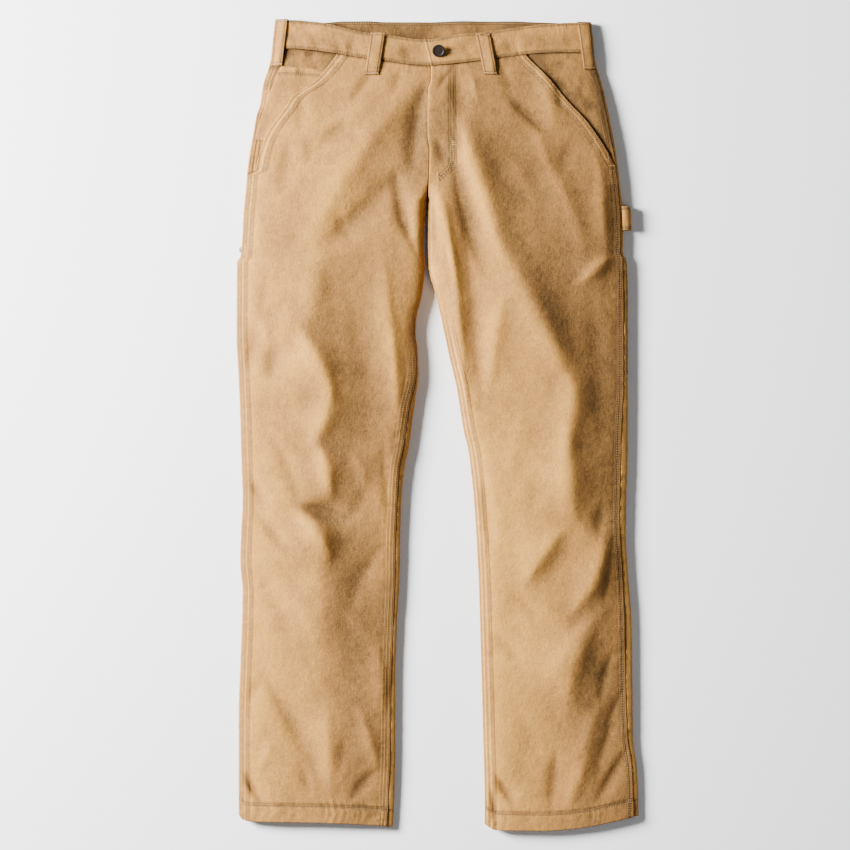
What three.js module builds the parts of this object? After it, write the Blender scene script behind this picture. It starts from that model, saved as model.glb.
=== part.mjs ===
// Work pants laid flat, front up. Millimetres. +X is the photo's right, +Y is towards the waist,
// +Z is up from the surface that the pants lie on. R and L are the wearer's right and left.
import * as THREE from 'three';

// Cloth and seams
const CLOTH = 1.3;
const BAND_CLOTH = 2.2;
const HEM_CLOTH = 2.4;
const SEAM_GAP = 0.3;
const CENTRE_GAP = 0.4;
const SIDE_INSET = 1.2;

// Heights of the laid garment
const WAIST_Y = 492;
const HEM_Y = -534;
const CROTCH_TOP_Y = 329;
const CROTCH_Y = 297;
const SIDE_ROUND_R = 62;
const SIDE_ROUND_L = 44;
const UNDER_ROUND = 14;
const FOLD_FADE_SIDE = 18;
const FOLD_FADE_INNER = 14;

// Layers, measured out from the garment's surface
const BAND_OUT = 0.9;
const LAP_OUT = 3.4;
const FLY_OUT = 1.6;
const ZIP_OUT = 0;
const ZIP_CLOTH = 1;
const SHIELD_OUT = -1.6;
const POCKET_OUT = -1.6;
const COIN_CLOTH = 1.1;
const FACING_CLOTH = 1.2;
const PATCH_CLOTH = 1.2;
const PATCH_SEAT = 1.5;
const LOOP_CLOTH = 1.8;

const SAND = 0xc99f69;
const SAND_DARK = 0xb98d58;

function table(columns, rows) {
  return rows.map((row) => Object.fromEntries(columns.map((name, i) => [name, row[i]])));
}

// Seen outline and boundary lines, one row per measured place
const OUTLINE_SIDE_R = table(['y', 'x'], [
  [536, -213], [512, -215.4], [492, -218.2], [471, -222.6], [449, -229.8], [422, -234], [407, -238.8],
  [383, -243.1], [358, -247.5], [334, -250.8], [312, -252.4], [281, -255.4], [236, -258.1], [221, -260],
  [215, -264.4], [115, -264.8], [77, -262.9], [37, -261], [-30, -259], [-103, -257.1], [-143, -259],
  [-181, -260], [-219, -257.1], [-268, -258.1], [-315, -260], [-393, -262.3], [-534, -262.3],
]);
const OUTLINE_INNER_R = table(['y', 'x'], [
  [300, -13.5], [290, -15.2], [236, -17.8], [210, -16.5], [182, -19.1], [165, -21.8], [144, -27.1],
  [124, -28.8], [95, -25.7], [66, -24.8], [37, -28.8], [-1, -33.7], [-30, -37.6], [-55, -43.2],
  [-94, -47.1], [-143, -49], [-201, -50], [-268, -53.7], [-354, -55.7], [-432, -55.7], [-510, -57.7],
  [-534, -59.5],
]);
const OUTLINE_INNER_L = table(['y', 'x'], [
  [300, -13.1], [290, -12.9], [236, -12.6], [206, -11.5], [177, -3.7], [135, 5.9], [91, 15.2], [48, 25.3],
  [-11, 35], [-30, 39.9], [-85, 46.6], [-152, 51.5], [-210, 54.4], [-268, 56.1], [-335, 58.1], [-412, 60.1],
  [-490, 62], [-534, 62],
]);
const OUTLINE_SIDE_L = table(['y', 'x'], [
  [536, 202.6], [512, 203.6], [480, 208], [441, 218.9], [397, 228.1], [363, 234.3], [342, 237.3],
  [319, 240.1], [289, 243], [251, 244.5], [225, 244], [218, 248.8], [165, 250.7], [-30, 250.7],
  [-65, 249.7], [-143, 247.9], [-181, 249.7], [-219, 252.8], [-257, 255.4], [-335, 256.7], [-412, 257.5],
  [-451, 262.4], [-490, 264.4], [-534, 265.3],
]);
const FLY_EDGE = table(['y', 'x'], [
  [494, -8.8], [471, -9.2], [459, -12.4], [416, -13.3], [391, -13.3], [375, -12.7], [364, -10.6],
  [345, -10.8], [318, -12.1], [300, -13.3],
]);
const POCKET_LINE_R = table(['y', 'x'], [
  [492, -132], [487, -134.8], [451, -161.7], [429, -191], [413, -202], [395, -216.2], [377, -227.2],
  [358, -233.9], [334, -239.6],
]);
const POCKET_LINE_L = table(['y', 'x'], [
  [490, 117], [487, 119.5], [454, 149.8], [429, 169.6], [399, 196.9], [370, 217.1], [346, 231],
]);
const WAIST_LINES = table(['x', 'seam', 'bandTop', 'backTop'], [
  [-220, 494.5, 534, 534], [-196, 495, 533.3, 532.5], [-152, 491.3, 529.3, 530.4],
  [-123, 486.4, 522.7, 532.5], [-94, 481.8, 516.5, 532.5], [-72, 478.8, 514, 531.6],
  [-14, 472, 506.9, 531.2], [30, 475.6, 513.8, 532.6], [56, 478.8, 516.6, 532.4],
  [93, 484.3, 521.4, 532.4], [131, 488.6, 526.2, 531.2], [170, 489.8, 529.3, 529.8], [207, 490, 530, 530],
]);
const HEM_LINE_R = table(['x', 'y'], [
  [-262, -513], [-256, -519.5], [-246, -522], [-163, -523.6], [-93, -526.5], [-59, -529.3],
]);
const HEM_LINE_L = table(['x', 'y'], [
  [62, -525.6], [77, -533.3], [142, -534.3], [191, -530.4], [230, -522.7], [266, -514.9],
]);
// Height of the front over the surface, height of the side edges, rounding of the inner leg,
// and how far each felled seam lies in from the outline
const SECTIONS = table(['y', 'loft', 'edge', 'innerRound', 'inseamR', 'outseamL'], [
  [536, 13.5, 5, 14, 1.2, 1.5], [490, 17, 6, 14, 1.2, 1.5], [447, 21, 7, 14, 1.2, 2.5],
  [407, 24, 8, 14, 1.2, 3], [363, 26, 8.5, 14, 1.2, 2.5], [323, 27, 9, 14, 1.2, 2.5],
  [270, 27, 9, 18, 1.2, 2.5], [225, 27, 9, 24, 1.2, 2.5], [212, 27, 9, 26, 1.2, 5], [115, 26, 9, 30, 1.2, 5],
  [50, 26, 9, 32, 3, 5], [20, 25, 9, 32, 6, 6.5], [-30, 25, 8.5, 32, 6.7, 8.5], [-103, 24, 8.5, 32, 4.8, 8],
  [-178, 22, 8, 32, 5.5, 6.5], [-268, 20, 7.5, 32, 4, 8.6], [-350, 18.5, 7, 32, 4.9, 8],
  [-432, 17, 6.5, 32, 5.7, 6], [-490, 14.5, 6, 32, 6.8, 6], [-534, 12.5, 5.5, 32, 6.8, 6],
]);

// The crest that each leg leans away from, and how much of its loft is gone at its left and right edges
const CREST_R = table(['y', 'x', 'left', 'right'], [
  [492, -48, 0.1, 0], [430, -50, 0.12, 0], [323, -88, 0.2, 0], [250, -140, 0.25, 0.2], [172, -165, 0.28, 0.25],
  [112, -172, 0.3, 0.35], [44, -134, 0.3, 0.45], [-20, -158, 0.3, 0.45], [-79, -144, 0.3, 0.45],
  [-110, -178, 0.3, 0.5], [-165, -152, 0.3, 0.55], [-231, -152, 0.3, 0.55], [-363, -142, 0.26, 0.5],
  [-490, -134, 0, 0.35], [-534, -132, 0, 0.3],
]);
const CREST_L = table(['y', 'x', 'left', 'right'], [
  [492, 24, 0, 0.3], [396, 20, 0, 0.4], [337, 34, 0, 0.5], [277, 58, 0.1, 0.52], [224, 76, 0.16, 0.55],
  [172, 104, 0.22, 0.6], [99, 152, 0.26, 0.6], [53, 174, 0.26, 0.6], [-20, 170, 0.26, 0.6], [-118, 177, 0.26, 0.6],
  [-158, 200, 0.26, 0.6], [-231, 182, 0.26, 0.58], [-337, 176, 0.22, 0.5], [-490, 173, 0, 0.35], [-534, 172, 0, 0.3],
]);
const CREST_SOFT = 12;

// Largest folds: ends of the run from top to bottom, sideways bow, half widths on the photo's left
// and right sides, and height (a trough is negative)
const FOLDS = table(['x0', 'y0', 'x1', 'y1', 'bow', 'left', 'right', 'height'], [
  [-17, 446, -33, 338, -3, 19, 9, -6.5],
  [-39, 345, -152, 236, 5, 18, 30, -5.5],
  [-55, 329, -31, 231, -4, 11, 10, -5.5],
  [-57, 418, -163, 260, -4, 36, 22, 5],
  [-155, 249, -180, 107, 0, 30, 34, 4],
  [-184, 125, -139, 36, 5, 32, 20, 9.5],
  [-138, 54, -166, -28, 4, 24, 19, 7],
  [-73, 226, -51, 7, 1, 22, 12, 4.5],
  [-95, 165, -93, -20, 0, 26, 22, -3],
  [-212, 107, -222, 57, 0, 12, 12, -3],
  [-158, -22, -140, -94, 3, 20, 15, 7],
  [-185, -108, -116, -125, 0, 13, 13, -5.5],
  [-185, -110, -141, -181, 7, 27, 17, 8.5],
  [-160, -173, -155, -297, 0, 37, 28, 4],
  [-76, -162, -115, -239, -4, 18, 11, -3],
  [-102, -373, -78, -455, 0, 16, 10, 3.5],
  [-232, -326, -152, -474, 4, 14, 22, -4],
  [-147, -371, -143, -490, 0, 20, 14, 3],
  [12, 425, 70, 223, 3, 22, 24, 7.5],
  [66, 244, 177, 44, 3, 34, 28, 10],
  [178, 65, 165, -38, 4, 27, 26, 7],
  [168, -9, 176, -125, -1, 30, 26, 8],
  [-2, 320, 30, 170, 0, 11, 11, 3.5],
  [10, 345, 47, 203, 0, 11, 15, -5.5],
  [11, 276, 38, -4, 3, 11, 9, 4.5],
  [34, 263, 59, -4, 3, 10, 15, -2.4],
  [28, 468, 27, 350, 0, 15, 12, -3.5],
  [88, 176, 67, 46, -3, 20, 13, 3.5],
  [93, 432, 143, 384, 0, 10, 11, -3.5],
  [141, 350, 193, 231, 3, 22, 16, 4],
  [209, 368, 222, 215, 1, 14, 11, 3],
  [228, 224, 185, 186, 1, 14, 10, 4.5],
  [164, -136, 113, -210, -3, 28, 14, 5.5],
  [222, -147, 181, -239, 8, 20, 19, 6.2],
  [213, -242, 168, -376, -12, 32, 26, 7],
  [204, -408, 170, -506, 0, 15, 14, 3],
  [251, -424, 207, -498, 0, 9, 9, -3],
]);

// Where the panels' rows lie, from the waist seam to the hem
const STATIONS = [
  492, 480, 468, 450, 431, 412, 393, 374, 358, 346, 341, 334, 329, 318, 307, 300, 297, 280, 258, 238, 223,
  217, 198, 176, 154, 132, 110, 88, 64, 40, 16, -8, -30, -54, -80, -108, -138, -168, -200, -236, -276, -320,
  -366, -412, -458, -508.4, -510, -534,
];
const FRONT_COLUMNS = [
  0, 0.025, 0.07, 0.13, 0.19, 0.25, 0.31, 0.37, 0.44, 0.51, 0.58, 0.65, 0.72, 0.79, 0.86, 0.92, 0.965, 1,
];
const FACING_COLUMNS = [0, 0.22, 0.44, 0.66, 0.84, 1];

// Rise of a smooth curve through a table, without overshoot
function slopeAt(rows, i, xName, yName) {
  const step = (k) => (rows[k + 1][yName] - rows[k][yName]) / (rows[k + 1][xName] - rows[k][xName]);
  if (i === 0) return step(0);
  if (i === rows.length - 1) return step(i - 1);
  const before = step(i - 1);
  const after = step(i);
  return before * after <= 0 ? 0 : (2 * before * after) / (before + after);
}

function curve(rows, xName, yName, at) {
  const upward = rows[1][xName] > rows[0][xName];
  const low = Math.min(rows[0][xName], rows[rows.length - 1][xName]);
  const high = Math.max(rows[0][xName], rows[rows.length - 1][xName]);
  const x = Math.min(high, Math.max(low, at));
  let i = 0;
  while (i < rows.length - 2 && (upward ? x > rows[i + 1][xName] : x < rows[i + 1][xName])) i += 1;
  const a = rows[i];
  const b = rows[i + 1];
  const width = b[xName] - a[xName];
  const t = (x - a[xName]) / width;
  const t2 = t * t;
  const t3 = t2 * t;
  return (2 * t3 - 3 * t2 + 1) * a[yName] + (t3 - 2 * t2 + t) * width * slopeAt(rows, i, xName, yName)
    + (3 * t2 - 2 * t3) * b[yName] + (t3 - t2) * width * slopeAt(rows, i + 1, xName, yName);
}

const clamp = (value) => Math.min(1, Math.max(0, value));
const lerp = (a, b, t) => a + (b - a) * t;
function smooth(value) {
  const t = clamp(value);
  return t * t * (3 - 2 * t);
}

const section = (name, y) => curve(SECTIONS, 'y', name, y);
const waistLine = (name, x) => curve(WAIST_LINES, 'x', name, x);
const flyEdge = (y) => curve(FLY_EDGE, 'y', 'x', y);

// Each leg runs from its outline at the side to its outline at the inner leg
const LEGS = {
  R: {
    sign: -1,
    crest: CREST_R,
    round: SIDE_ROUND_R,
    side: (y) => curve(OUTLINE_SIDE_R, 'y', 'x', y),
    inner: (y) => (y > CROTCH_Y + 3 ? flyEdge(y) - CENTRE_GAP / 2 : curve(OUTLINE_INNER_R, 'y', 'x', y)),
    sideSeam: () => SIDE_INSET,
    innerSeam: (y) => section('inseamR', y),
    pocket: (y) => curve(POCKET_LINE_R, 'y', 'x', y),
    pocketEnd: 334,
    hem: (x) => curve(HEM_LINE_R, 'x', 'y', x),
  },
  L: {
    sign: 1,
    crest: CREST_L,
    round: SIDE_ROUND_L,
    side: (y) => curve(OUTLINE_SIDE_L, 'y', 'x', y),
    inner: (y) => (y > CROTCH_Y + 3 ? flyEdge(y) + CENTRE_GAP / 2 : curve(OUTLINE_INNER_L, 'y', 'x', y)),
    sideSeam: (y) => section('outseamL', y),
    innerSeam: () => SIDE_INSET,
    pocket: (y) => curve(POCKET_LINE_L, 'y', 'x', y),
    pocketEnd: 346,
    hem: (x) => curve(HEM_LINE_L, 'x', 'y', x),
  },
};

// How far the legs have parted at y: 0 above the crotch, 1 below it
function parted(y) {
  const s = clamp((CROTCH_TOP_Y - y) / (CROTCH_TOP_Y - CROTCH_Y));
  return 1 - Math.sqrt(1 - s * s);
}

function arch(distance, round) {
  const q = 1 - clamp(distance / round);
  return Math.sqrt(Math.max(0, 1 - q * q));
}

function foldHeight(fold, x, y) {
  const length = Math.hypot(fold.x1 - fold.x0, fold.y1 - fold.y0);
  const ux = (fold.x1 - fold.x0) / length;
  const uy = (fold.y1 - fold.y0) / length;
  const along = ((x - fold.x0) * ux + (y - fold.y0) * uy) / length;
  const across = (y - fold.y0) * ux - (x - fold.x0) * uy - fold.bow * 4 * along * (1 - along);
  const end = clamp(Math.abs(2 * along - 1) / 1.3);
  const taper = (1 - end * end) ** 2;
  const width = (across > 0 ? fold.right : fold.left) * (0.5 + 0.5 * taper);
  return (fold.height * taper) / (1 + 0.55 * (across / width) ** 2) ** 2;
}

// Share of the loft left where the leg leans down from its crest
function stand(leg, x, y) {
  const crest = curve(leg.crest, 'y', 'x', y);
  const leftX = Math.min(leg.side(y), leg.inner(y));
  const rightX = Math.max(leg.side(y), leg.inner(y));
  const toRight = (x - crest + Math.hypot(x - crest, CREST_SOFT)) / 2;
  const toLeft = (crest - x + Math.hypot(x - crest, CREST_SOFT)) / 2;
  const rightLoss = curve(leg.crest, 'y', 'right', y) * clamp(toRight / (rightX - crest));
  const leftLoss = curve(leg.crest, 'y', 'left', y) * clamp(toLeft / (crest - leftX));
  return 1 - rightLoss - leftLoss;
}

function topHeight(leg, x, y) {
  const apart = parted(y);
  const fromSide = leg.sign * (leg.side(y) - x);
  const fromInner = leg.sign * (x - leg.inner(y));
  const loft = section('loft', y);
  const edge = section('edge', y);
  const innerArch = 1 - apart + apart * arch(fromInner, section('innerRound', y));
  const rise = arch(fromSide, leg.round) * innerArch * stand(leg, x, y);
  const innerFade = 1 - apart + apart * smooth(fromInner / FOLD_FADE_INNER);
  const fade = smooth(fromSide / FOLD_FADE_SIDE) * innerFade;
  const folds = FOLDS.reduce((sum, fold) => sum + foldHeight(fold, x, y), 0);
  return edge + (loft - edge) * rise + folds * fade;
}

// A place on the garment: its point and the direction out of the cloth
function place(x, y, z, normal) {
  return { point: new THREE.Vector3(x, y, z), normal: normal.clone().normalize() };
}

function topPlace(leg, x, y) {
  const reach = 1.5;
  const sideRoom = Math.max(0.2, leg.sign * (leg.side(y) - x) - 0.3);
  const toSide = Math.min(reach, sideRoom);
  const xa = x - leg.sign * reach;
  const xb = x + leg.sign * toSide;
  const slopeX = (topHeight(leg, xb, y) - topHeight(leg, xa, y)) / (xb - xa);
  const slopeY = (topHeight(leg, x, y + reach) - topHeight(leg, x, y - reach)) / (2 * reach);
  return place(x, y, topHeight(leg, x, y), new THREE.Vector3(-slopeX, -slopeY, 1));
}

// The line of a felled seam: `which` is side or inner; `past` moves along the cloth, to the back if over 0
function seamPlace(leg, which, y, past) {
  const inset = which === 'side' ? leg.sideSeam(y) : leg.innerSeam(y);
  const round = which === 'side' ? leg.round : section('innerRound', y);
  const outward = which === 'side' ? leg.sign : -leg.sign;
  const outline = which === 'side' ? leg.side(y) : leg.inner(y);
  const edge = section('edge', y);
  const rise = (section('loft', y) - edge) * stand(leg, outline - outward * inset, y);
  const q = 1 - inset / round;
  const slope = (rise * q) / (round * Math.sqrt(1 - q * q));
  const tangent = new THREE.Vector3(outward, 0, -slope).normalize();
  const normal = new THREE.Vector3(outward * slope, 0, 1);
  const z = edge + rise * arch(inset, round);
  const spot = place(outline - outward * inset, y, z, normal);
  spot.point.addScaledVector(tangent, past);
  return spot;
}

const blend = (a, b, t) => a.clone().multiplyScalar(1 - t).addScaledVector(b, t).normalize();

// Rows bend from straight stations to the waist seam above and the hem below
function rowY(leg, station, x, waistY) {
  const up = smooth((station - 350) / (WAIST_Y - 350));
  const down = smooth((-380 - station) / (-380 - HEM_Y));
  return station + (waistY - WAIST_Y) * up + (leg.hem(x) - HEM_Y) * down;
}

function frontBounds(leg, station) {
  const apart = parted(station);
  const sideX = leg.side(station) - leg.sign * leg.sideSeam(station);
  const innerX = leg.inner(station) + leg.sign * leg.innerSeam(station) * apart;
  const cut = station >= leg.pocketEnd;
  return { apart, cut, outer: cut ? leg.pocket(station) : sideX, innerX };
}

function frontGrid(leg) {
  return STATIONS.map((station) => {
    const bounds = frontBounds(leg, station);
    return FRONT_COLUMNS.map((c, j) => {
      const x = lerp(bounds.outer, bounds.innerX, c);
      const y = rowY(leg, station, x, waistLine('seam', x));
      if (j === 0 && !bounds.cut) return seamPlace(leg, 'side', y, -SEAM_GAP / 2);
      const spot = topPlace(leg, x, y);
      if (j === FRONT_COLUMNS.length - 1 && bounds.apart > 0) {
        const seam = seamPlace(leg, 'inner', y, -SEAM_GAP / 2);
        if (bounds.apart >= 1) return seam;
        spot.normal = blend(spot.normal, seam.normal, bounds.apart);
      }
      return spot;
    });
  });
}

// The back wraps the side: from the felled seam, round the outline and under to the flat
function backSide(leg, which, station, apart) {
  const outward = which === 'side' ? leg.sign : -leg.sign;
  const outlineX = which === 'side' ? leg.side(station) : leg.inner(station);
  const y = rowY(leg, station, outlineX, backWaist(outlineX));
  const round = which === 'side' ? leg.round : section('innerRound', y);
  const inset = which === 'side' ? leg.sideSeam(y) : leg.innerSeam(y);
  const outline = which === 'side' ? leg.side(y) : leg.inner(y);
  const edge = section('edge', y);
  const spots = [seamPlace(leg, which, y, SEAM_GAP / 2)];
  const wide = inset > 2;
  if (wide) {
    const half = inset * 0.22;
    const q = 1 - half / round;
    const rise = (section('loft', y) - edge) * stand(leg, outline - outward * half, y);
    const slope = (rise * q) / (round * Math.sqrt(1 - q * q));
    const z = edge + rise * arch(half, round);
    spots.push(place(outline - outward * half, y, z, new THREE.Vector3(outward * slope, 0, 1)));
  } else {
    spots.push(place(outline, y, edge, new THREE.Vector3(outward, 0, 0.1)));
  }
  for (const angle of [wide ? 10 : 32, 62, 90]) {
    const a = THREE.MathUtils.degToRad(angle);
    const x = outline - outward * UNDER_ROUND * (1 - Math.cos(a));
    const z = edge * (1 - Math.sin(a));
    const normal = new THREE.Vector3(outward * edge * Math.cos(a), 0, -UNDER_ROUND * Math.sin(a));
    spots.push(place(x, y, z, normal));
  }
  if (which === 'inner' && apart < 1) {
    const down = new THREE.Vector3(0, 0, -1);
    for (const spot of spots) {
      spot.point.z *= apart;
      spot.normal = blend(down, spot.normal, apart);
    }
    spots[0].point.x = outline + leg.sign * inset * apart;
  }
  return spots;
}

const backWaist = (x) => lerp(494.5, 490, clamp((x + 218) / 426));

const PATCH_IN = 40;
const PATCH_RAMP = 6;
const FIRST_PATCH_COLUMN = 1;
const LAST_PATCH_COLUMN = 5;

function flatPlace(leg, station, x) {
  return place(x, rowY(leg, station, x, backWaist(x)), 0, new THREE.Vector3(0, 0, -1));
}

function backGrid(leg) {
  return STATIONS.map((station) => {
    const apart = parted(station);
    const side = backSide(leg, 'side', station, 1);
    const inner = backSide(leg, 'inner', station, apart).reverse();
    const flatStart = side[side.length - 1].point.x;
    const patchEdge = flatPlace(leg, station, flatStart - leg.sign * (PATCH_IN - UNDER_ROUND));
    const rampEdge = flatPlace(leg, station, flatStart - leg.sign * (PATCH_IN - UNDER_ROUND + PATCH_RAMP));
    return [...side, patchEdge, rampEdge, ...inner];
  });
}

// A closed wall between two matching nets of points
function wall(outer, inner) {
  const rows = outer.length;
  const columns = outer[0].length;
  const points = [...outer.flat(), ...inner.flat()];
  const half = rows * columns;
  const at = (i, j) => i * columns + j;
  const faces = [];
  const quad = (a, b, c, d) => faces.push(a, b, c, a, c, d);
  for (let i = 0; i < rows - 1; i += 1) {
    for (let j = 0; j < columns - 1; j += 1) {
      quad(at(i, j), at(i + 1, j), at(i + 1, j + 1), at(i, j + 1));
      quad(half + at(i, j), half + at(i, j + 1), half + at(i + 1, j + 1), half + at(i + 1, j));
    }
  }
  const rim = [];
  for (let j = 0; j < columns; j += 1) rim.push(at(0, j));
  for (let i = 1; i < rows; i += 1) rim.push(at(i, columns - 1));
  for (let j = columns - 2; j >= 0; j -= 1) rim.push(at(rows - 1, j));
  for (let i = rows - 2; i >= 1; i -= 1) rim.push(at(i, 0));
  rim.forEach((a, k) => {
    const b = rim[(k + 1) % rim.length];
    quad(a, b, half + b, half + a);
  });
  return solid(points, faces);
}

function signedVolume(points, faces) {
  let sum = 0;
  for (let k = 0; k < faces.length; k += 3) {
    const cross = new THREE.Vector3().crossVectors(points[faces[k + 1]], points[faces[k + 2]]);
    sum += points[faces[k]].dot(cross) / 6;
  }
  return sum;
}

function solid(points, faces) {
  const turned = signedVolume(points, faces) < 0;
  const index = [];
  for (let k = 0; k < faces.length; k += 3) {
    if (turned) index.push(faces[k], faces[k + 2], faces[k + 1]);
    else index.push(faces[k], faces[k + 1], faces[k + 2]);
  }
  const geometry = new THREE.BufferGeometry().setFromPoints(points);
  geometry.setIndex(index);
  geometry.computeVertexNormals();
  return geometry;
}

// Cloth on a net of places: outer face `out` above them and `thick` of wall below that
function cloth(net, out, thick) {
  const outOf = (i, j, spot) => (typeof out === 'function' ? out(i, j, spot) : out);
  const thickOf = (i, j, spot) => (typeof thick === 'function' ? thick(i, j, spot) : thick);
  const moved = (spot, distance) => spot.point.clone().addScaledVector(spot.normal, distance);
  const outer = net.map((row, i) => row.map((spot, j) => moved(spot, outOf(i, j, spot))));
  const inner = net.map((row, i) => row.map((spot, j) => moved(spot, outOf(i, j, spot) - thickOf(i, j, spot))));
  return wall(outer, inner);
}

const part = new THREE.Group();
part.name = 'work_pants';
function add(name, geometry, color, roughness = 0.92, metalness = 0) {
  const material = new THREE.MeshStandardMaterial({ color, roughness, metalness });
  const mesh = new THREE.Mesh(geometry, material);
  mesh.name = name;
  part.add(mesh);
}

const nets = { front: {}, back: {} };
for (const side of ['R', 'L']) {
  nets.front[side] = frontGrid(LEGS[side]);
  nets.back[side] = backGrid(LEGS[side]);
}

const hemTop = STATIONS.indexOf(-510);
const panelThick = (i) => (i >= hemTop ? HEM_CLOTH : CLOTH);

// The left front's fly face stands over the closure strip
const FLY_FULL_X = 9;
const FLY_FADE = 17;
function flyRaise(i, j, spot) {
  const across = 1 - smooth((spot.point.x - FLY_FULL_X) / FLY_FADE);
  const down = smooth((spot.point.y - 326) / 18);
  return FLY_OUT * across * down;
}
add('front_panel_R', cloth(nets.front.R, 0, panelThick), SAND);
add('front_panel_L', cloth(nets.front.L, flyRaise, panelThick), SAND);

// Utility pocket patches lie on the back panel's side; the panel is seated under them
const PATCHES = { R: { first: 217, last: -54 }, L: { first: 217, last: 64 } };
for (const side of ['R', 'L']) {
  const first = STATIONS.indexOf(PATCHES[side].first);
  const last = STATIONS.indexOf(PATCHES[side].last);
  const covered = (i, j) => i >= first && i <= last && j >= FIRST_PATCH_COLUMN && j <= LAST_PATCH_COLUMN;
  const seated = (i, j) => (covered(i, j) ? -PATCH_SEAT : 0);
  add(`back_panel_${side}`, cloth(nets.back[side], seated, panelThick), SAND);
  const patch = nets.back[side].slice(first, last + 1)
    .map((row) => row.slice(FIRST_PATCH_COLUMN, LAST_PATCH_COLUMN + 1));
  add(`utility_pocket_${side}`, cloth(patch, 0, PATCH_CLOTH), SAND_DARK);
}

// Hand pocket facings run from the side seam to a little way under the pocket mouth
const UNDERLAP_COLUMNS = 2;
const COIN_FIRST = 468;
const END_CLEAR = 0.9;
const COIN_LAST = 374;
function facingNet(side, first, last, fromColumn) {
  const leg = LEGS[side];
  const rows = [];
  const end = STATIONS.indexOf(leg.pocketEnd);
  for (let i = first; i <= last; i += 1) {
    const station = STATIONS[i];
    const bottom = i === end;
    const sideX = leg.side(station) - leg.sign * leg.sideSeam(station);
    const row = FACING_COLUMNS.slice(fromColumn).map((c) => {
      const x = lerp(sideX, leg.pocket(station), c);
      const drop = bottom ? (1 - c) * (STATIONS[end] - STATIONS[end + 1]) - END_CLEAR : 0;
      const y = rowY(leg, station, x, waistLine('seam', x)) - drop;
      const spot = c === 0 ? seamPlace(leg, 'side', y, -SEAM_GAP / 2) : topPlace(leg, x, y);
      return { ...spot, share: c };
    });
    const under = nets.front[side][i].slice(1, UNDERLAP_COLUMNS + 1).map((spot) => {
      const moved = { point: spot.point.clone(), normal: spot.normal, share: 1 };
      if (bottom) moved.point.y += END_CLEAR;
      return moved;
    });
    rows.push([...row, ...under]);
  }
  return rows;
}

const FACING_OUT = { R: POCKET_OUT - COIN_CLOTH - 0.3, L: POCKET_OUT };
for (const side of ['R', 'L']) {
  const net = facingNet(side, 0, STATIONS.indexOf(LEGS[side].pocketEnd), 0);
  const sunk = (i, j, spot) => FACING_OUT[side] * smooth(spot.share / 0.8);
  add(`pocket_facing_${side}`, cloth(net, sunk, FACING_CLOTH), SAND);
}

// The coin pocket lies on the right facing, under the mouth's edge
const coinFirst = STATIONS.indexOf(COIN_FIRST);
const coinNet = facingNet('R', coinFirst, STATIONS.indexOf(COIN_LAST), 1);
const coinOut = (i, j, spot) => FACING_OUT.R * smooth(spot.share / 0.8) + COIN_CLOTH + SEAM_GAP;
add('coin_pocket_R', cloth(coinNet, coinOut, COIN_CLOTH), SAND);

// Fly: closure strip and underlap below the left front's fly face
const lastColumn = FRONT_COLUMNS.length - 1;
const flyEnd = STATIONS.indexOf(341);
const zipNet = nets.front.L.slice(0, flyEnd).map((row) => row.slice(lastColumn - 2).reverse());
add('fly_zip', cloth(zipNet, ZIP_OUT, ZIP_CLOTH), SAND_DARK);
const shieldNet = nets.front.R.slice(0, flyEnd + 1).map((row, i) => [
  ...row.slice(lastColumn - 2, lastColumn), ...nets.front.L[i].slice(lastColumn - 2).reverse(),
]);
add('fly_shield', cloth(shieldNet, SHIELD_OUT, CLOTH), SAND);

// Waistband: front pieces run from the side join to the lap at the button
const BAND_ROWS = [0, 0.33, 0.67, 1];
const JOIN = table(['y', 'R', 'L'], [[536, -204.5, 193.5], [492, -209.5, 197.5]]);
const LAP_LINE = table(['y', 'x'], [[508, -17.8], [473, -9]]);
const joinX = (side, y) => curve(JOIN, 'y', side, y);
const legAt = (x) => (x < -12.5 ? LEGS.R : LEGS.L);

function bandPlace(x, v) {
  const y = lerp(waistLine('seam', x) + SEAM_GAP, waistLine('bandTop', x), v);
  return topPlace(legAt(x), x, y);
}

function bandRow(v, side) {
  const lapStart = curve(LAP_LINE, 'y', 'x', lerp(473, 508, v));
  const lapColumns = [0, 7, 14, 21, 29].map((step) => lapStart + step);
  const join = joinX(side, lerp(WAIST_Y, 534, v));
  const run = side === 'R'
    ? [0, 0.06, 0.16, 0.28, 0.4, 0.52, 0.64, 0.76, 0.88].map((c) => lerp(join, lapStart, c))
    : [0.14, 0.28, 0.42, 0.56, 0.7, 0.82, 0.92, 0.97, 1].map((c) => lerp(lapStart + 29, join, c));
  const xs = side === 'R' ? [...run, ...lapColumns.slice(0, 4)] : [...lapColumns, ...run];
  return xs.map((x) => bandPlace(x, v));
}

const bandNet = { R: BAND_ROWS.map((v) => bandRow(v, 'R')), L: BAND_ROWS.map((v) => bandRow(v, 'L')) };
const lapRaise = (i, j) => lerp(LAP_OUT, BAND_OUT, smooth((j - 3) / 3));
add('waistband_front_R', cloth(bandNet.R, BAND_OUT, BAND_CLOTH), SAND);
add('waistband_front_L', cloth(bandNet.L, lapRaise, BAND_CLOTH), SAND);

// Back waistband: lies on the surface with soft upright waves, and turns up at both sides to the joins
const BACK_WAVES = table(['x', 'half', 'height'], [
  [-150, 22, 1.8], [-92, 26, 2.4], [-28, 24, 2], [36, 30, 2.6], [104, 22, 1.8], [152, 20, 2.2],
]);
const backWave = (x) => BACK_WAVES.reduce(
  (sum, wave) => sum + wave.height / (1 + ((x - wave.x) / wave.half) ** 2) ** 2,
  0,
);

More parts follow.
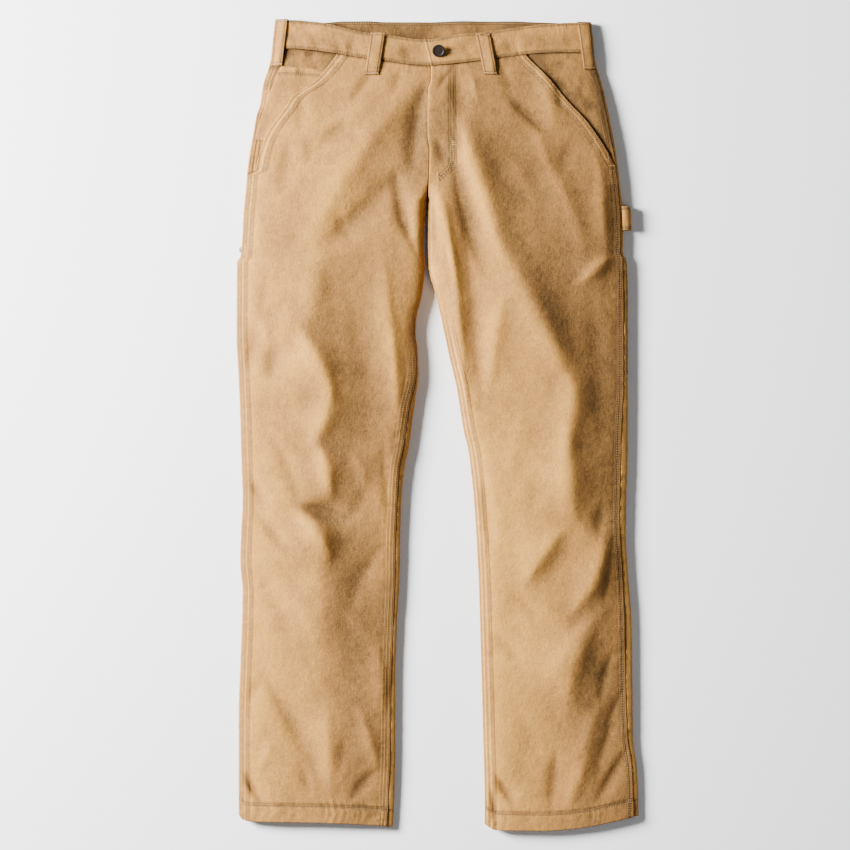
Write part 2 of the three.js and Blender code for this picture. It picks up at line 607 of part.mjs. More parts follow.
function backBandSide(side, v) {
  const leg = LEGS[side];
  const backY = lerp(backWaist(leg.side(WAIST_Y)) + SEAM_GAP, waistLine('backTop', leg.side(534)), v);
  const join = joinX(side, lerp(WAIST_Y, 534, v));
  const first = bandPlace(join, v);
  first.point.x += leg.sign * SEAM_GAP;
  const outline = leg.side(backY);
  const edge = section('edge', backY);
  const near = topPlace(leg, outline - leg.sign * 2.2, lerp(first.point.y, backY, 0.6));
  const spots = [{ ...first, out: BAND_OUT }, { ...near, out: BAND_OUT * 0.6 }];
  for (const angle of [0, 28, 52, 74, 90]) {
    const a = THREE.MathUtils.degToRad(angle);
    const x = outline - leg.sign * UNDER_ROUND * (1 - Math.cos(a));
    const normal = new THREE.Vector3(leg.sign * edge * Math.cos(a), 0, -UNDER_ROUND * Math.sin(a));
    spots.push({ ...place(x, backY, edge * (1 - Math.sin(a)), normal), out: 0 });
  }
  return spots;
}

const backBandNet = BAND_ROWS.map((v) => {
  const right = backBandSide('R', v);
  const left = backBandSide('L', v).reverse();
  const from = right[right.length - 1].point.x;
  const to = left[0].point.x;
  const middle = [];
  for (let k = 1; k < 18; k += 1) {
    const x = lerp(from, to, k / 18);
    const y = lerp(backWaist(x) + SEAM_GAP, waistLine('backTop', x), v);
    const spot = place(x, y, backWave(x) * smooth(v * 1.6), new THREE.Vector3(0, 0, -1));
    middle.push({ ...spot, out: 0 });
  }
  return [...right, ...middle, ...left];
});
add('waistband_back', cloth(backBandNet, (i, j, spot) => spot.out, BAND_CLOTH), SAND);

// Belt loops: straps sewn down at both ends that stand a little off the band between
const LOOPS = table(['name', 'topLeft', 'topRight', 'lowRight', 'lowLeft', 'top', 'low'], [
  ['belt_loop_side_R', -213.2, -196.7, -204.2, -219.6, 534.3, 472.4],
  ['belt_loop_front_R', -87.8, -68.4, -77.2, -95.7, 516.4, 460.2],
  ['belt_loop_front_L', 49.5, 68.8, 78.5, 61.1, 515.4, 460.6],
  ['belt_loop_side_L', 183.5, 202, 207.8, 192.3, 530.6, 467.8],
]);
const LOOP_ROWS = table(['share', 'clear'], [
  [0, 1.4], [0.06, 1.5], [0.18, 3], [0.4, 3.4], [0.62, 3.2], [0.8, 2.2], [0.92, 0.6], [1, 0.5],
]);
for (const loop of LOOPS) {
  const faces = [0, LOOP_CLOTH].map((above) => LOOP_ROWS.map(({ share, clear }) => {
    const y = lerp(loop.top, loop.low, share);
    return [0, 0.33, 0.67, 1].map((u) => {
      const x = lerp(lerp(loop.topLeft, loop.topRight, u), lerp(loop.lowLeft, loop.lowRight, u), share);
      return new THREE.Vector3(x, y, topHeight(legAt(x), x, Math.min(y, 534)) + clear + above);
    });
  }));
  add(loop.name, wall(faces[1], faces[0]), SAND);
}

// Round pieces turned about their axis: pairs of radius and height
function turned(profile, segments) {
  const points = [];
  const faces = [];
  for (const [radius, height] of profile) {
    for (let k = 0; k < segments; k += 1) {
      const a = (2 * Math.PI * k) / segments;
      points.push(new THREE.Vector3(radius * Math.cos(a), radius * Math.sin(a), height));
    }
  }
  for (let i = 0; i < profile.length - 1; i += 1) {
    for (let k = 0; k < segments; k += 1) {
      const next = (k + 1) % segments;
      const a = i * segments + k;
      const b = i * segments + next;
      faces.push(a, b, b + segments, a, b + segments, a + segments);
    }
  }
  const foot = points.push(new THREE.Vector3(0, 0, profile[0][1])) - 1;
  const head = points.push(new THREE.Vector3(0, 0, profile[profile.length - 1][1])) - 1;
  const lastRing = (profile.length - 1) * segments;
  for (let k = 0; k < segments; k += 1) {
    const next = (k + 1) % segments;
    faces.push(foot, next, k, head, lastRing + k, lastRing + next);
  }
  return solid(points, faces);
}

const BUTTON_X = 1.4;
const BUTTON_Y = 491.4;
const BUTTON_TILT = THREE.MathUtils.degToRad(17);
const button = turned([[2.6, -2.2], [2.6, 0], [8, 0.3], [8.5, 1.3], [8, 2.3], [6.6, 2.5], [5.6, 1.9]], 28);
button.rotateX(BUTTON_TILT);
button.translate(BUTTON_X, BUTTON_Y, topHeight(LEGS.L, BUTTON_X, BUTTON_Y) + LAP_OUT + 3.5);
add('button', button, 0x2c221b, 0.45, 0.6);

const RIVET_Y = 231;
const rivet = turned([[3.9, 0], [3.9, 0.5], [3, 1.3], [1.4, 1.7]], 16);
rivet.rotateY(-Math.PI / 2);
rivet.translate(LEGS.R.side(RIVET_Y) - 0.8, RIVET_Y, section('edge', RIVET_Y));
add('rivet_R', rivet, 0x3a2c22, 0.4, 0.8);

// Hammer loop: a strap bent to a D at the left side seam
const HAMMER_TOP_Y = 287.8;
const HAMMER_LOW_Y = 256.1;
const HAMMER_PATH = table(['out', 'up'], [
  [-0.6, 5], [1.8, 5.4], [5, 5.1], [8.6, 3.4], [10.3, 0.6], [10.3, -2], [8.4, -4.6], [5, -5.6], [1.5, -5.6],
  [-1.4, -5.3],
]);
const HAMMER_CLOTH = 1.5;
function hammerFace(offset) {
  return [0, 0.5, 1].map((v) => {
    const y = lerp(HAMMER_TOP_Y, HAMMER_LOW_Y, v);
    const x0 = LEGS.L.side(y);
    const z0 = section('edge', y);
    return HAMMER_PATH.map((step, k) => {
      const before = HAMMER_PATH[Math.max(0, k - 1)];
      const after = HAMMER_PATH[Math.min(HAMMER_PATH.length - 1, k + 1)];
      const run = new THREE.Vector2(after.out - before.out, after.up - before.up).normalize();
      return new THREE.Vector3(x0 + step.out - run.y * offset, y, z0 + step.up + run.x * offset);
    });
  });
}
add('hammer_loop_L', wall(hammerFace(HAMMER_CLOTH / 2), hammerFace(-HAMMER_CLOTH / 2)), SAND_DARK);

export default part;
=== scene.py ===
import math
import bpy
import numpy as np
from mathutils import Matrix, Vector


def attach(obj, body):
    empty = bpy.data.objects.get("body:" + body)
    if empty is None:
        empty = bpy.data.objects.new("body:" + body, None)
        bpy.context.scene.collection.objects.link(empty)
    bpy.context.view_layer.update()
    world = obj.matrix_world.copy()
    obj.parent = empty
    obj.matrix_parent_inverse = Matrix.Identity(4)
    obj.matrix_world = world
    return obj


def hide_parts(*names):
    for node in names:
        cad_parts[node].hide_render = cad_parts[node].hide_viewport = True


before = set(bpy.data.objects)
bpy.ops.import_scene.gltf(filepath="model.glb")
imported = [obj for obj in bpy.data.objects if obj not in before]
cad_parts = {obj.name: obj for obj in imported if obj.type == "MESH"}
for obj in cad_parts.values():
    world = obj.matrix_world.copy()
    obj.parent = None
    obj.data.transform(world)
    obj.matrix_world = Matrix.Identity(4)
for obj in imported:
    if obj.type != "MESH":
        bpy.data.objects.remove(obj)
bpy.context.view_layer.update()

# Millimetres below, in the CAD's frame: x is the photo's right, y is towards the waist, z is up
MM = 0.001
PHOTO_MM = 1.32
PHOTO_X0 = 437.5
PHOTO_Y0 = 425.0

CLOTH = 1.3
BAND_CLOTH = 2.2
HEM_CLOTH = 2.4
# The hem's thicker wall lies below this
HEM_WALL_Y = -510
SEAM_GAP = 0.3
CENTRE_GAP = 0.4
SIDE_INSET = 1.2
WAIST_Y = 492
HEM_Y = -534
CROTCH_TOP_Y = 329
CROTCH_Y = 297
UNDER_ROUND = 14
BAND_OUT = 0.9
FLY_OUT = 1.6
SHIELD_DEPTH = 1.6
FLY_FULL_X = 9
FLY_FADE = 17
COIN_CLOTH = 1.1
FACING_CLOTH = 1.2
PATCH_CLOTH = 1.2
PATCH_SEAT = 1.5
FACING_OUT = {"R": -3.0, "L": -1.6}
LOOP_CLOTH = 1.8
# Where the right leg's form ends and the left leg's begins, at the fly
MIDDLE_X = -12.5

# Outline and boundary lines: y, x
OUTLINE_SIDE_R = [
    (536, -213), (512, -215.4), (492, -218.2), (471, -222.6), (449, -229.8), (422, -234), (407, -238.8),
    (383, -243.1), (358, -247.5), (334, -250.8), (312, -252.4), (281, -255.4), (236, -258.1), (221, -260),
    (215, -264.4), (115, -264.8), (77, -262.9), (37, -261), (-30, -259), (-103, -257.1), (-143, -259),
    (-181, -260), (-219, -257.1), (-268, -258.1), (-315, -260), (-393, -262.3), (-534, -262.3)]
OUTLINE_INNER_R = [
    (300, -13.5), (290, -15.2), (236, -17.8), (210, -16.5), (182, -19.1), (165, -21.8), (144, -27.1),
    (124, -28.8), (95, -25.7), (66, -24.8), (37, -28.8), (-1, -33.7), (-30, -37.6), (-55, -43.2),
    (-94, -47.1), (-143, -49), (-201, -50), (-268, -53.7), (-354, -55.7), (-432, -55.7), (-510, -57.7),
    (-534, -59.5)]
OUTLINE_INNER_L = [
    (300, -13.1), (290, -12.9), (236, -12.6), (206, -11.5), (177, -3.7), (135, 5.9), (91, 15.2),
    (48, 25.3), (-11, 35), (-30, 39.9), (-85, 46.6), (-152, 51.5), (-210, 54.4), (-268, 56.1),
    (-335, 58.1), (-412, 60.1), (-490, 62), (-534, 62)]
OUTLINE_SIDE_L = [
    (536, 202.6), (512, 203.6), (480, 208), (441, 218.9), (397, 228.1), (363, 234.3), (342, 237.3),
    (319, 240.1), (289, 243), (251, 244.5), (225, 244), (218, 248.8), (165, 250.7), (-30, 250.7),
    (-65, 249.7), (-143, 247.9), (-181, 249.7), (-219, 252.8), (-257, 255.4), (-335, 256.7),
    (-412, 257.5), (-451, 262.4), (-490, 264.4), (-534, 265.3)]
FLY_EDGE = [
    (494, -8.8), (471, -9.2), (459, -12.4), (416, -13.3), (391, -13.3), (375, -12.7), (364, -10.6),
    (345, -10.8), (318, -12.1), (300, -13.3)]
POCKET_LINE_R = [
    (492, -132), (487, -134.8), (451, -161.7), (429, -191), (413, -202), (395, -216.2), (377, -227.2),
    (358, -233.9), (334, -239.6)]
POCKET_LINE_L = [
    (490, 117), (487, 119.5), (454, 149.8), (429, 169.6), (399, 196.9), (370, 217.1), (346, 231)]
# x, waist seam y, top of the front band y, top of the back band y
WAIST_LINES = [
    (-220, 494.5, 534, 534), (-196, 495, 533.3, 532.5), (-152, 491.3, 529.3, 530.4),
    (-123, 486.4, 522.7, 532.5), (-94, 481.8, 516.5, 532.5), (-72, 478.8, 514, 531.6),
    (-14, 472, 506.9, 531.2), (30, 475.6, 513.8, 532.6), (56, 478.8, 516.6, 532.4),
    (93, 484.3, 521.4, 532.4), (131, 488.6, 526.2, 531.2), (170, 489.8, 529.3, 529.8), (207, 490, 530, 530)]
HEM_LINE_R = [(-262, -513), (-256, -519.5), (-246, -522), (-163, -523.6), (-93, -526.5), (-59, -529.3)]
HEM_LINE_L = [(62, -525.6), (77, -533.3), (142, -534.3), (191, -530.4), (230, -522.7), (266, -514.9)]
# y, loft, edge height, rounding of the inner leg, inset of the right inseam, inset of the left outseam
SECTIONS = [
    (536, 13.5, 5, 14, 1.2, 1.5), (490, 17, 6, 14, 1.2, 1.5), (447, 21, 7, 14, 1.2, 2.5),
    (407, 24, 8, 14, 1.2, 3), (363, 26, 8.5, 14, 1.2, 2.5), (323, 27, 9, 14, 1.2, 2.5),
    (270, 27, 9, 18, 1.2, 2.5), (225, 27, 9, 24, 1.2, 2.5), (212, 27, 9, 26, 1.2, 5),
    (115, 26, 9, 30, 1.2, 5), (50, 26, 9, 32, 3, 5), (20, 25, 9, 32, 6, 6.5),
    (-30, 25, 8.5, 32, 6.7, 8.5), (-103, 24, 8.5, 32, 4.8, 8), (-178, 22, 8, 32, 5.5, 6.5),
    (-268, 20, 7.5, 32, 4, 8.6), (-350, 18.5, 7, 32, 4.9, 8), (-432, 17, 6.5, 32, 5.7, 6),
    (-490, 14.5, 6, 32, 6.8, 6), (-534, 12.5, 5.5, 32, 6.8, 6)]
LOFT, EDGE, INNER_ROUND, INSEAM_R, OUTSEAM_L = 1, 2, 3, 4, 5

# The crest that each leg leans away from: y, x, share of the loft gone at its left and at its right
CREST_R = [
    (492, -48, 0.1, 0), (430, -50, 0.12, 0), (323, -88, 0.2, 0), (250, -140, 0.25, 0.2),
    (172, -165, 0.28, 0.25), (112, -172, 0.3, 0.35), (44, -134, 0.3, 0.45), (-20, -158, 0.3, 0.45),
    (-79, -144, 0.3, 0.45), (-110, -178, 0.3, 0.5), (-165, -152, 0.3, 0.55), (-231, -152, 0.3, 0.55),
    (-363, -142, 0.26, 0.5), (-490, -134, 0, 0.35), (-534, -132, 0, 0.3)]
CREST_L = [
    (492, 24, 0, 0.3), (396, 20, 0, 0.4), (337, 44, 0, 0.5), (277, 68, 0.1, 0.52), (224, 84, 0.16, 0.55),
    (172, 104, 0.22, 0.6), (99, 152, 0.26, 0.6), (53, 174, 0.26, 0.6), (-20, 170, 0.26, 0.6),
    (-118, 177, 0.26, 0.6), (-158, 200, 0.26, 0.6), (-231, 182, 0.26, 0.58), (-337, 176, 0.22, 0.5),
    (-490, 173, 0, 0.35), (-534, 172, 0, 0.3)]
CREST_SOFT = 12

# The solids' folds, top to bottom of the run: x0, y0, x1, y1, bow, left and right half width, height
FOLDS = [
    (-17, 446, -33, 338, -3, 19, 9, -6.5), (-39, 345, -152, 236, 5, 18, 30, -5.5),
    (-55, 329, -31, 231, -4, 11, 10, -5.5), (-57, 418, -163, 260, -4, 36, 22, 5),
    (-155, 249, -180, 107, 0, 30, 34, 4), (-184, 125, -139, 36, 5, 32, 20, 9.5),
    (-138, 54, -166, -28, 4, 24, 19, 7), (-73, 226, -51, 7, 1, 22, 12, 4.5),
    (-95, 165, -93, -20, 0, 26, 22, -3), (-212, 107, -222, 57, 0, 12, 12, -3),
    (-158, -22, -140, -94, 3, 20, 15, 7), (-185, -108, -116, -125, 0, 13, 13, -5.5),
    (-185, -110, -141, -181, 7, 27, 17, 8.5), (-160, -173, -155, -297, 0, 37, 28, 4),
    (-76, -162, -115, -239, -4, 18, 11, -3), (-102, -373, -78, -455, 0, 16, 10, 3.5),
    (-232, -326, -152, -474, 4, 14, 22, -4), (-147, -371, -143, -490, 0, 20, 14, 3),
    (17, 428, 84, 223, 3, 22, 24, 7.5), (76, 244, 178, 44, 3, 34, 28, 10),
    (178, 65, 165, -38, 4, 27, 26, 7), (168, -9, 176, -125, -1, 30, 26, 8),
    (-2, 320, 30, 170, 0, 11, 11, 3.5), (19, 350, 60, 200, -2, 11, 15, -5.5),
    (11, 276, 38, -4, 3, 11, 9, 4.5), (34, 263, 59, -4, 3, 10, 15, -2.4),
    (28, 468, 27, 350, 0, 15, 12, -3.5), (88, 176, 67, 46, -3, 20, 13, 3.5),
    (93, 432, 143, 384, 0, 10, 11, -3.5), (141, 350, 193, 231, 3, 22, 16, 4),
    (209, 368, 222, 215, 1, 14, 11, 3), (228, 224, 185, 186, 1, 14, 10, 4.5),
    (164, -136, 113, -210, -3, 28, 14, 5.5), (222, -147, 181, -239, 8, 20, 19, 6.2),
    (213, -242, 168, -376, -12, 32, 26, 7), (204, -408, 170, -506, 0, 15, 14, 3),
    (251, -424, 207, -498, 0, 9, 9, -3)]

# Finer creases, in photo pixels: x0, y0, x1, y1, bow, left and right half width, height mm
CREASES = [
    (255, 330, 248, 372, 0, 7, 7, -1.6), (262, 318, 268, 352, 1, 6, 5, 1.2),
    (376, 636, 381, 724, 2, 14, 6, 2.4), (248, 472, 266, 512, 0, 6, 6, -1.9),
    (255, 510, 288, 554, 0, 8, 7, -2.2), (274, 438, 300, 502, 2, 9, 7, -2.0),
    (260, 566, 292, 650, 2, 10, 9, -1.5), (242, 768, 262, 802, -1, 4, 5, -3.6),
    (378, 768, 350, 800, -2, 6, 6, -2.3), (290, 140, 282, 196, 0, 9, 8, -1.8),
    (302, 88, 300, 134, 0, 8, 7, -1.6), (320, 132, 372, 104, 0, 10, 10, 1.6),
    (349, 118, 322, 146, 0, 8, 8, -1.5), (312, 140, 308, 168, 0, 6, 6, -1.2),
    (540, 60, 554, 124, 0, 12, 9, 2.8), (592, 300, 602, 440, 0, 12, 12, -2.2),
    (600, 700, 576, 756, 0, 9, 8, 2.4), (556, 752, 551, 808, 0, 8, 7, -2.8),
    (496, 774, 514, 806, 0, 5, 5, -3.0), (490, 784, 496, 826, 0, 4, 4, -2.6),
    (482, 472, 491, 556, 0, 7, 7, -2.2), (490, 632, 522, 664, 0, 8, 8, -1.8),
    (504, 590, 540, 622, 2, 9, 8, -1.2), (300, 596, 318, 650, 0, 10, 8, 1.4),
    (338, 214, 352, 250, 0, 8, 8, -1.2), (436, 142, 446, 170, 1, 6, 5, -2.6),
    (449, 74, 438, 90, 0, 4, 3, -1.6), (372, 72, 352, 100, 2, 6, 5, -1.4),
    (402, 70, 392, 96, 0, 5, 5, -1.2), (500, 66, 512, 96, 0, 6, 5, -1.6),
    (470, 72, 478, 104, 0, 5, 4, 1.3), (556, 84, 562, 112, 0, 5, 4, -1.3),
    (262, 676, 250, 700, 0, 6, 6, -1.1), (346, 736, 338, 772, 0, 8, 7, -1.7),
    (300, 758, 310, 794, 0, 6, 6, -1.4), (272, 740, 262, 768, 0, 8, 6, 1.3),
    (612, 650, 600, 700, -2, 6, 5, -1.8), (622, 690, 606, 740, -3, 6, 5, -1.8),
    (616, 720, 596, 776, -3, 6, 6, -1.6), (584, 610, 566, 632, 0, 8, 6, -1.6),
    (520, 420, 508, 470, 0, 12, 10, 1.2), (540, 470, 530, 520, 0, 12, 10, -1.0),
    (352, 452, 366, 486, 2, 9, 8, 1.6), (366, 486, 352, 520, 0, 9, 8, -1.4),
    (384, 440, 388, 520, 0, 6, 5, -1.6), (322, 262, 336, 318, 2, 12, 12, -1.4),
    (352, 300, 358, 352, 0, 10, 9, -1.2), (290, 300, 284, 346, 0, 12, 10, 1.4),
    (258, 210, 262, 260, 0, 7, 6, 1.0), (268, 268, 262, 312, 0, 6, 6, -1.0),
    (602, 500, 598, 536, 0, 7, 6, -1.8), (612, 540, 604, 600, 0, 6, 5, -1.6),
    (574, 138, 560, 176, -2, 8, 8, -1.4), (534, 128, 548, 168, 0, 9, 7, 1.4),
    (500, 150, 534, 204, 2, 12, 8, 1.6), (430, 196, 436, 232, 0, 4, 4, -1.2),
    (560, 640, 548, 690, 0, 14, 12, 1.4), (520, 716, 540, 764, 0, 10, 9, -1.2),
    (322, 664, 352, 712, 0, 12, 10, -1.2), (350, 610, 372, 656, 2, 10, 8, 1.4)]

# Broad painted light and shade over the legs' forms, in photo pixels; over 0 is painted light:
# x0, y0, x1, y1, bow, left and right half width, shading
SHADING_STROKES = [
    (442, 58, 442, 184, 0, 15, 12, -0.8), (426, 78, 409, 208, 0, 15, 14, -0.9),
    (393, 262, 397, 430, 0, 7, 9, 0.8), (384, 440, 391, 600, 0, 9, 9, 0.8),
    (606, 56, 612, 156, 0, 18, 10, -0.7), (462, 140, 490, 240, 0, 9, 9, 0.4),
    (440, 200, 465, 305, 0, 6, 7, 0.6), (352, 170, 306, 262, 0, 16, 14, 0.35),
    (252, 470, 262, 800, 0, 34, 34, 0.3), (500, 380, 510, 800, 0, 42, 36, 0.3),
    (450, 148, 477, 264, 0, 9, 9, -0.9), (440, 214, 468, 396, 0, 7, 7, -0.9),
    (474, 116, 514, 208, 0, 6, 14, -0.3), (290, 330, 300, 440, 0, 14, 14, 0.2),
    (430, 190, 434, 262, 0, 8, 8, -0.8), (606, 290, 610, 540, 0, 26, 16, -0.45),
    (580, 600, 596, 760, 0, 20, 22, -0.5), (570, 528, 530, 590, 0, 8, 11, -0.5),
    (389, 600, 388, 806, 0, 7, 9, 0.8), (392, 88, 360, 204, 0, 15, 14, -0.35),
    (538, 262, 556, 350, 0, 14, 14, -0.5)]
# How much the right leg's painted shade eases off far right of its crest
RIGHT_FADE = 0.4

# Painted shade right of each leg's crest, where the form turns from the light, and painted light left of
# it: y, right, left
LEAN_SHADE_R = [(492, 0.15, 0.05), (330, 0.25, 0.1), (172, 0.3, 0.1), (44, 0.85, 0.1), (-79, 0.65, 0.2),
               (-165, 0.85, 0.2), (-363, 0.8, 0.2), (-534, 0.4, 0.1)]
LEAN_SHADE_L = [(492, 0.45, 0), (396, 0.55, 0), (277, 0.68, 0.1), (172, 0.75, 0.2), (44, 0.6, 0.25),
               (-79, 0.5, 0.35), (-231, 0.55, 0.35), (-363, 0.55, 0.35), (-534, 0.4, 0.25)]

# Folds of the hidden back, where the cloth lifts a little off the surface
BACK_FOLDS = [
    (-120, 420, -60, 330, 6, 20, 14, 2.2), (-180, 380, -150, 270, 4, 16, 22, 1.8),
    (-90, 300, -130, 190, 5, 18, 14, 2.4), (-200, 200, -170, 90, 0, 14, 18, 1.6),
    (-120, 120, -90, 20, 5, 22, 14, 2.4), (-190, 10, -140, -70, 4, 15, 22, 2.1),
    (-110, -120, -150, -210, 5, 20, 12, 1.9), (-200, -250, -170, -360, 4, 14, 18, 1.5),
    (-110, -330, -90, -450, 0, 14, 16, 1.8), (60, 430, 120, 330, 5, 22, 15, 2.3),
    (150, 390, 190, 280, 3, 16, 20, 1.7), (70, 290, 110, 170, 6, 18, 14, 2.5),
    (200, 180, 170, 60, 4, 18, 13, 1.8), (110, 90, 150, -20, 5, 16, 24, 2.3),
    (190, -60, 150, -160, 4, 22, 14, 2), (100, -190, 130, -300, 4, 14, 20, 1.6),
    (200, -290, 170, -400, 5, 20, 14, 1.9), (110, -390, 140, -480, 0, 16, 14, 1.5)]


def px(x, y):
    return (np.asarray(x, float) - PHOTO_X0) * PHOTO_MM, (PHOTO_Y0 - np.asarray(y, float)) * PHOTO_MM


def curve(rows, at, column=1):
    """Smooth curve through a table's rows, without overshoot."""
    rows = np.asarray(rows, float)
    xs, ys = rows[:, 0], rows[:, column]
    if xs[0] > xs[-1]:
        xs, ys = xs[::-1], ys[::-1]
    step = np.diff(ys) / np.diff(xs)
    slope = np.concatenate([step[:1], step[:1].repeat(len(step) - 1), step[-1:]])
    both = step[:-1] * step[1:]
    total = np.where(both > 0, step[:-1] + step[1:], 1)
    slope[1:-1] = np.where(both > 0, 2 * both / total, 0)
    x = np.clip(at, xs[0], xs[-1])
    i = np.clip(np.searchsorted(xs, x) - 1, 0, len(xs) - 2)
    width = xs[i + 1] - xs[i]
    t = (x - xs[i]) / width
    t2, t3 = t * t, t * t * t
    return ((2 * t3 - 3 * t2 + 1) * ys[i] + (t3 - 2 * t2 + t) * width * slope[i]
            + (3 * t2 - 2 * t3) * ys[i + 1] + (t3 - t2) * width * slope[i + 1])


def smooth(value):
    t = np.clip(value, 0, 1)
    return t * t * (3 - 2 * t)


def lerp(a, b, t):
    return a + (b - a) * t


def section(column, y):
    return curve(SECTIONS, y, column)


def waist_line(column, x):
    return curve(WAIST_LINES, x, column)


SEAM_Y, BAND_TOP, BACK_TOP = 1, 2, 3

NOISE_SIZE = 97
NOISE = np.random.default_rng(20).random((NOISE_SIZE, NOISE_SIZE))


def noise1(value, seed=0):
    """Smooth value noise along a line, from -1 to 1."""
    value = np.asarray(value, float)
    i = np.floor(value).astype(int)
    t = smooth(value - i)
    row = NOISE[seed % NOISE_SIZE]
    return 2 * lerp(row[i % NOISE_SIZE], row[(i + 1) % NOISE_SIZE], t) - 1


def noise2(x, y, seed=0):
    """Smooth value noise over the plane, from -1 to 1."""
    i, j = np.floor(x).astype(int), np.floor(y).astype(int)
    s, t = smooth(x - i), smooth(y - j)
    i, j = i + 31 * seed, j + 17 * seed
    i, j, right, above = i % NOISE_SIZE, j % NOISE_SIZE, (i + 1) % NOISE_SIZE, (j + 1) % NOISE_SIZE
    low = lerp(NOISE[i, j], NOISE[right, j], s)
    high = lerp(NOISE[i, above], NOISE[right, above], s)
    return 2 * lerp(low, high, t) - 1


class Leg:
    def __init__(self, name):
        self.name = name
        self.right = name == "R"
        self.sign = -1 if self.right else 1
        self.round = 62 if self.right else 44
        self.crest = CREST_R if self.right else CREST_L
        self.pocket_end = 334 if self.right else 346
        self.pocket_next = 329 if self.right else 341

    def side(self, y):
        return curve(OUTLINE_SIDE_R if self.right else OUTLINE_SIDE_L, y)

    def inner(self, y):
        fly = curve(FLY_EDGE, y) + self.sign * CENTRE_GAP / 2
        inseam = curve(OUTLINE_INNER_R if self.right else OUTLINE_INNER_L, y)
        return np.where(y > CROTCH_Y + 3, fly, inseam)

    def side_seam(self, y):
        return np.full(np.shape(y), SIDE_INSET) if self.right else section(OUTSEAM_L, y)

    def inner_seam(self, y):
        return section(INSEAM_R, y) if self.right else np.full(np.shape(y), SIDE_INSET)

    def pocket(self, y):
        return curve(POCKET_LINE_R if self.right else POCKET_LINE_L, y)

    def hem(self, x):
        return curve(HEM_LINE_R if self.right else HEM_LINE_L, x)


RIGHT, LEFT = Leg("R"), Leg("L")


def parted(y):
    s = np.clip((CROTCH_TOP_Y - np.asarray(y, float)) / (CROTCH_TOP_Y - CROTCH_Y), 0, 1)
    return 1 - np.sqrt(1 - s * s)


def arch(distance, rounding):
    q = 1 - np.clip(distance / rounding, 0, 1)
    return np.sqrt(np.maximum(0, 1 - q * q))


def fold_height(fold, x, y):
    x0, y0, x1, y1, bow, left, right, height = fold
    length = math.hypot(x1 - x0, y1 - y0)
    ux, uy = (x1 - x0) / length, (y1 - y0) / length
    along = ((x - x0) * ux + (y - y0) * uy) / length
    across = (y - y0) * ux - (x - x0) * uy - bow * 4 * along * (1 - along)
    end = np.clip(np.abs(2 * along - 1) / 1.3, 0, 1)
    taper = (1 - end * end) ** 2
    width = np.where(across > 0, right, left) * (0.5 + 0.5 * taper)
    return height * taper / (1 + 0.55 * (across / width) ** 2) ** 2


CREASE_DEPTH = 1.3


def px_fold(row, deeper=1):
    """A fold or stroke given in photo pixels, in mm; its last value is taken times `deeper`."""
    x0, y0, x1, y1, bow, left, right, height = row
    (ax, bx), (ay, by) = px([x0, x1], [y0, y1])
    return ax, ay, bx, by, bow * PHOTO_MM, left * PHOTO_MM, right * PHOTO_MM, height * deeper


def crest_rows():
    """A fuller crest or bed along each large fold, within its own form."""
    return [(*row[:5], row[5] * 0.8, row[6] * 0.72, row[7] * 0.26) for row in FOLDS]


ALL_FOLDS = FOLDS + crest_rows() + [px_fold(row, CREASE_DEPTH) for row in CREASES]


def painted_shading(leg, x, y):
    """Broad painted light and shade over the leg's form, standing in for its lean towards and away from the
    light.
    """
    crest = curve(leg.crest, y, 1)
    rows = LEAN_SHADE_R if leg.right else LEAN_SHADE_L
    fade = 1 - RIGHT_FADE * smooth((x - crest - 30) / 50) if leg.right else 1
    pale = curve(rows, y, 2) * smooth((crest - x + 12) / 60)
    found = pale - curve(rows, y, 1) * fade * smooth((x - crest + 4) / 36)
    for row in SHADING_STROKES:
        found = found + fold_height(px_fold(row), x, y)
    return found


def crumple(x, y):
    """Low, uneven waviness of washed duck."""
    broad = 0.8 * noise2(x / 40, y / 56, 1) + 0.38 * noise2(x / 19, y / 27, 2)
    return broad + 0.15 * noise2(x / 9, y / 12, 3) + 0.05 * noise2(x / 4, y / 5, 4)


def stand(leg, x, y):
    """Share of the loft left where the leg leans down from its crest."""
    crest = curve(leg.crest, y, 1)
    left_x = np.minimum(leg.side(y), leg.inner(y))
    right_x = np.maximum(leg.side(y), leg.inner(y))
    far = np.hypot(x - crest, CREST_SOFT)
    right_loss = curve(leg.crest, y, 3) * np.clip((x - crest + far) / 2 / (right_x - crest), 0, 1)
    left_loss = curve(leg.crest, y, 2) * np.clip((crest - x + far) / 2 / (crest - left_x), 0, 1)
    return 1 - right_loss - left_loss


def top_height(leg, x, y):
    apart = parted(y)
    from_side = leg.sign * (leg.side(y) - x)
    from_inner = leg.sign * (x - leg.inner(y))
    loft, edge = section(LOFT, y), section(EDGE, y)
    inner_arch = 1 - apart + apart * arch(from_inner, section(INNER_ROUND, y))
    rise = arch(from_side, leg.round) * inner_arch * stand(leg, x, y)
    fade = smooth(from_side / 18) * (1 - apart + apart * smooth(from_inner / 14))
    folds = sum(fold_height(fold, x, y) for fold in ALL_FOLDS) + crumple(x, y)
    return edge + (loft - edge) * rise + folds * fade


def middle_height(x, y):
    """Height of the front at the waist, where both legs' forms meet."""
    return np.where(x < MIDDLE_X, top_height(RIGHT, x, y), top_height(LEFT, x, y))


def grid_normals(points, up):
    """Unit normals of a net of points; `up` is 1 or -1, the side that they point to."""
    across = np.gradient(points, axis=1)
    down = np.gradient(points, axis=0)
    normal = np.cross(across, down)
    length = np.linalg.norm(normal, axis=2, keepdims=True)
    normal = normal / np.maximum(length, 1e-9)
    middle = normal[normal.shape[0] // 2, normal.shape[1] // 2, 2]
    return normal * (1 if middle * up > 0 else -1)


# How far out a place is set against its surroundings, in mm, and how much that counts
WEAR_SHADE_REACHES = ((5.0, 0.32), (17.0, 0.2))
AROUND = ((1, 0), (-1, 0), (0, 1), (0, -1))


